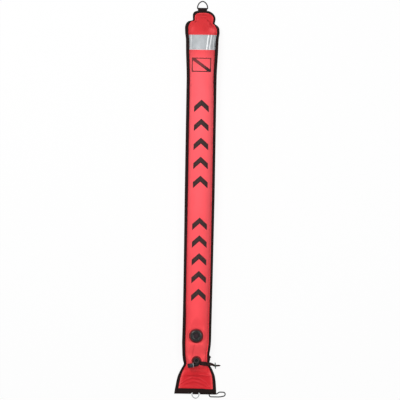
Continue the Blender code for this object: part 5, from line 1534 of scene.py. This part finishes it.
class BUOY_OT_patches(bpy.types.Operator):
    """The round patches welded to the front under the valve and the inflator"""

    bl_idname = "buoy.patches"
    bl_label = "Welded patches"

    def execute(self, context):
        wall = 0.6 * MM
        for name, node, place, inner, outer, flange in (
            ("valve_weld", "valve_patch", VALVE, 19 * MM, 32.5 * MM, 0.0),
            ("inflator_weld", "inflator_patch", INFLATOR, 15.9 * MM, 22.5 * MM, FLANGE_TOP),
        ):
            radius, turn = np.meshgrid(np.linspace(inner, outer, 16), np.linspace(0, 2 * math.pi, 73), indexing="ij")
            radius = radius + 0.25 * MM * np.sin(9 * turn) * (radius - inner) / (outer - inner)
            x, y = place[0] + radius * np.cos(turn), place[1] + radius * np.sin(turn)
            grid = front_face(share_at(x, y), y, lift=GAP + wall)
            over = (flange + GAP + wall) * ease((21.2 * MM - radius) / (1.6 * MM))
            grid[..., 2] = np.maximum(grid[..., 2], over)
            surface = Surface().grid(grid[:, :-1], close_columns=True, flip=True)
            add_piece(surface, name, "patch", (node,), wall)
        return {"FINISHED"}


class BUOY_OT_strap(bpy.types.Operator):
    """The rubber strap round the inflator's neck: a flat band with beaded edges that narrows to a ribbed tail"""

    bl_idname = "buoy.strap"
    bl_label = "Closing strap"

    def execute(self, context):
        line = smooth_path(self.route(), 1.3 * MM)
        place, half, thick = line[:, :3], line[:, 3], line[:, 4]
        tangent = along_path(place)
        sideways = unit(np.cross((0, 0, 1), tangent))
        up = np.cross(tangent, sideways)
        turn = full_turn(32)[None, :]
        flat = np.clip(half / thick / 6, 0, 1)[:, None]
        cos, sin = np.cos(turn), np.sin(turn)
        side = np.sign(cos) * np.abs(cos) ** (1 - 0.62 * flat)
        rise = np.sign(sin) * np.abs(sin) ** (1 - 0.45 * flat)
        bead = 1 + 0.3 * flat * bell(np.abs(side) - 0.86, 0.09)
        x = place[:, :1]
        ribs = 1 + 0.05 * np.sin(2 * math.pi * x / (2.6 * MM)) * ease((x - 60 * MM) / (8 * MM))
        offset = (side * half[:, None] * ribs)[..., None] * sideways[:, None]
        offset = offset + (rise * bead * thick[:, None] * ribs)[..., None] * up[:, None]
        surface = Surface().grid(place[:, None] + offset, close_columns=True, cap_rows=True)
        low, wide, wall, edge = 1.2 * MM, 15.5 * MM, 2 * MM, 0.35 * MM
        hole = 10 * MM
        profile = (
            (hole + edge, 0),
            (wide - edge, 0),
            (wide, edge),
            (wide, wall - edge),
            (wide - edge, wall),
            (hole + edge, wall),
            (hole, wall - edge),
            (hole, edge),
        )
        eye = turned_grid(profile, (INFLATOR[0], INFLATOR[1], INFLATOR[2] + low), around=64)
        surface.grid(eye, close_rows=True, close_columns=True, flip=True)
        add_piece(surface, "strap_band", "rubber", ("closing_strap",), sharp=50)
        return {"FINISHED"}

    def route(self):
        """(x, y, z, half-width, half-thickness): flat beside the neck, over the cloth and the edge tape, then
        hanging free to the toggle."""
        flat = INFLATOR[2] + 2.95 * MM
        points = [(10.4, -734.7, flat / MM, 7, 0.85)]
        for x, y, half in ((21, -739.4, 9), (32, -740.8, 9), (41, -741.5, 9), (49, -742.3, 8.8)):
            at_x, at_y = np.meshgrid(x * MM + np.array([-4, 0, 4, 9]) * MM, y * MM + np.array([-9, 0, 9]) * MM)
            under = float(front_face(share_at(at_x, at_y), at_y)[..., 2].max())
            points.append((x, y, min(flat, under + 2.2 * MM) / MM, half, 1))
        over = float(seam_at(-737 * MM)) / MM + 2.55
        points += [
            (56, -742.9, over + 1, 8.4, 1),
            (64, -743.4, over + 1.5, 7.4, 1.2),
            (72.5, -744.9, (over + 21.5) / 2, 5.6, 1.6),
            (78.5, -748.2, 20.8, 4.8, 2.7),
            (85.5, -749.5, 20, 4.3, 2.7),
            (92.5, -749.3, 18.5, 4.1, 2.6),
            (102.5, -749, 15, 3.6, 2.2),
            (108.5, -749, 12, 1.6, 1.4),
        ]
        return np.array(points) * MM


class BUOY_OT_tape_lap(bpy.types.Operator):
    """Where the edge tape's two ends are lapped and folded under, a short lump on the right edge"""

    bl_idname = "buoy.tape_lap"
    bl_label = "Lapped tape end"

    def execute(self, context):
        wall = tapes().thickness
        y = np.linspace(-703 * MM, -727 * MM, 19)[:, None]
        bulge = 7 * MM * bell(y + 711 * MM, 5 * MM) + 2.5 * MM * bell(y + 722 * MM, 5 * MM)
        plump = 0.8 * MM * bell(y + 714 * MM, 6 * MM)
        wide = tape_width(y) - curve_through(TRIM_RIGHT, y)
        back, rise = folded_tape(wide, half_seam() + 2 * GAP + 1.5 * wall, 11, bulge, plump)
        grid = askew(curve_through(HALF_WIDTH, y) - back, y + 0 * back, seam_at(y) + rise * steepness(y))
        add_piece(Surface().grid(grid), "tape_lap", "webbing", wall=wall, wall_offset=0.0)
        return {"FINISHED"}


class BUOY_OT_valve_cap(bpy.types.Operator):
    """The valve's screw cap: a round shoulder with grip notches, a shallow dish and a ring of vent holes"""

    bl_idname = "buoy.valve_cap"
    bl_label = "Valve cap"

    def execute(self, context):
        low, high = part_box("valve_cap")
        outer, top = 27 * MM, high.z
        hole, cavity, neck, roof = 8 * MM, 22 * MM, 19 * MM, high.z - 3.7 * MM
        wide, deep = 7 * MM, 5 * MM
        turn = np.linspace(0, math.pi / 2, 13)
        dish = np.linspace(hole + 0.5 * MM, outer - wide, 26)[:-1]
        profile = [
            (hole, top - 1.4 * MM),
            *((r, top - 0.7 * MM * (1 - float(ease((r - 11 * MM) / (8 * MM))))) for r in dish),
            *((outer - wide + wide * math.sin(a), top - deep + deep * math.cos(a)) for a in turn),
            (outer, low.z + 3 * MM),
            (outer, low.z + 0.5 * MM),
            (outer - 0.5 * MM, low.z),
            (neck, low.z),
            (neck, low.z + 3.3 * MM),
            (cavity, low.z + 4.3 * MM),
            (cavity, roof),
            (hole, roof),
        ]

        def notches(angle, radius, height):
            """Eighteen grip notches: 1.3 mm times a bell of 1.4 mm round each place, on the side and the shoulder."""
            away = outer * ((angle + math.pi / 18) % (math.pi / 9) - math.pi / 18)
            return -1.3 * MM * bell(away, 1.4 * MM) * ease((radius - outer + 4 * MM) / (3 * MM))

        centre = ((low.x + high.x) / 2, (low.y + high.y) / 2, 0)
        grid = turned_grid(profile, centre, around=216, radius_change=notches)
        x, y = grid[..., 0] - centre[0], grid[..., 1] - centre[1]
        on_top = grid[..., 2] > top - 1.2 * MM
        for angle in (np.arange(8) + 0.5) * math.pi / 4:
            away = np.hypot(x - 16 * MM * math.cos(angle), y - 16 * MM * math.sin(angle))
            grid[..., 2] -= 1.6 * MM * on_top * (1 - ease((away - 1.4 * MM) / (0.5 * MM)))
        surface = Surface().grid(grid, close_rows=True, close_columns=True, flip=True)
        add_piece(surface, "vented_cap", "cap", ("valve_cap",), sharp=50)
        return {"FINISHED"}


class BUOY_OT_nut(bpy.types.Operator):
    """The hollow nut that holds the inflator's elbow: knurled, with a rounded rim round its dished, open socket"""

    bl_idname = "buoy.nut"
    bl_label = "Inflator nut"

    def execute(self, context):
        low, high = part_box("inflator_nut")
        outer, top = (high.x - low.x) / 2, high.z
        shank, dish, socket = 6.7 * MM, 8 * MM, 5 * MM
        seat, floor, edge = top - 3 * MM, top - 5 * MM, 0.9 * MM
        turn = np.linspace(math.pi, 0, 13)
        middle, half = (outer + dish) / 2, (outer - dish) / 2
        crest = [(middle + half * math.cos(a), top - edge + edge * math.sin(a)) for a in turn]
        profile = [
            (socket, floor),
            (socket, top - 2.2 * MM),
            (socket + 0.5 * MM, top - 1.8 * MM),
            (dish - 0.3 * MM, top - 1.6 * MM),
            *crest,
            (outer, seat + 0.4 * MM),
            (outer - 0.4 * MM, seat),
            (shank, seat),
            (shank, low.z),
        ]

        def knurl(angle, radius, height):
            """Twenty-eight shallow grooves in the rim's side: up to 0.45 mm (1 + cos 28 a) / 2 deep."""
            on_side = (radius > outer - 0.1 * MM) & (height < top - 0.5 * MM) & (height > seat + 0.1 * MM)
            return -0.45 * MM * on_side * (0.5 + 0.5 * np.cos(28 * angle))

        centre = ((low.x + high.x) / 2, (low.y + high.y) / 2, 0)
        grid = turned_grid(profile, centre, around=168, radius_change=knurl)
        # painted highlight along the rounded crest of the rim
        tone = np.zeros(grid.shape[:2])
        tone[4:17] = np.sin(turn)[:, None]
        surface = Surface().grid(grid, close_columns=True, cap_rows=True, flip=True, tone=tone)
        surface.tones.append(np.zeros(2))  # for the middles of both ends
        add_piece(surface, "hollow_nut", "nut", ("inflator_nut",), sharp=50)
        return {"FINISHED"}


class BUOY_OT_fittings(bpy.types.Operator):
    """Finishes for the moulded and metal parts of the valve and the inflator"""

    bl_idname = "buoy.fittings"
    bl_label = "Valve and inflator"

    def execute(self, context):
        for node, finish in (
            ("valve_base", "black"),
            ("valve_seal", "rubber"),
            ("valve_poppet", "black"),
            ("valve_spring", "steel"),
            ("valve_knob", "knob"),
            ("inflator_base", "black"),
            ("inflator_seal", "rubber"),
            ("inflator_elbow", "black"),
            ("inflator_lock_ring", "collar"),
            ("inflator_mouthpiece", "silicone"),
            ("inflator_plunger", "black"),
            ("plunger_seal", "rubber"),
            ("inflator_spring", "steel"),
            ("toggle_bar", "toggle"),
        ):
            piece = NODES[node]
            piece.data.materials.clear()
            piece.data.materials.append(finish_of(finish))
            if "spring" not in node:
                edges = piece.modifiers.new("rounded edges", "BEVEL")
                edges.width = fittings().edge * (2.2 if finish == "knob" else 1)
                edges.segments = 2
                edges.limit_method = "ANGLE"
                edges.angle_limit = math.radians(40)
        return {"FINISHED"}


class BUOY_PT_panel(bpy.types.Panel):
    """Lists what the buoy is built from"""

    bl_idname = "BUOY_PT_panel"
    bl_label = "Surface Marker Buoy"
    bl_space_type = "VIEW_3D"
    bl_region_type = "UI"
    bl_category = "Buoy"

    def draw(self, context):
        for operator in OPERATORS:
            self.layout.operator(operator.bl_idname)
        for group in (context.scene.buoy_cloth, context.scene.buoy_tapes, context.scene.buoy_fittings):
            box = self.layout.box()
            for name in group.__annotations__:
                box.prop(group, name)


OPERATORS = (
    BUOY_OT_stage,
    BUOY_OT_elastic_loop,
    BUOY_OT_panels,
    BUOY_OT_edge_tape,
    BUOY_OT_tape_lap,
    BUOY_OT_hems,
    BUOY_OT_reflective_band,
    BUOY_OT_prints,
    BUOY_OT_baffles,
    BUOY_OT_rings,
    BUOY_OT_loop_tape,
    BUOY_OT_patches,
    BUOY_OT_strap,
    BUOY_OT_valve_cap,
    BUOY_OT_nut,
    BUOY_OT_fittings,
)
GROUPS = {
    "buoy_cloth": BuoyClothSettings,
    "buoy_tapes": BuoyTapeSettings,
    "buoy_fittings": BuoyFittingSettings,
    "buoy_stage": BuoyStageSettings,
}


def register():
    for cls in (*GROUPS.values(), *OPERATORS, BUOY_PT_panel):
        bpy.utils.register_class(cls)
    for name, group in GROUPS.items():
        setattr(bpy.types.Scene, name, bpy.props.PointerProperty(type=group))


def unregister():
    for name in GROUPS:
        delattr(bpy.types.Scene, name)
    for cls in (BUOY_PT_panel, *reversed(OPERATORS), *reversed(list(GROUPS.values()))):
        bpy.utils.unregister_class(cls)


def main():
    register()
    for operator in OPERATORS:
        group, name = operator.bl_idname.split(".")
        getattr(getattr(bpy.ops, group), name)()


if __name__ == "__main__":
    main()
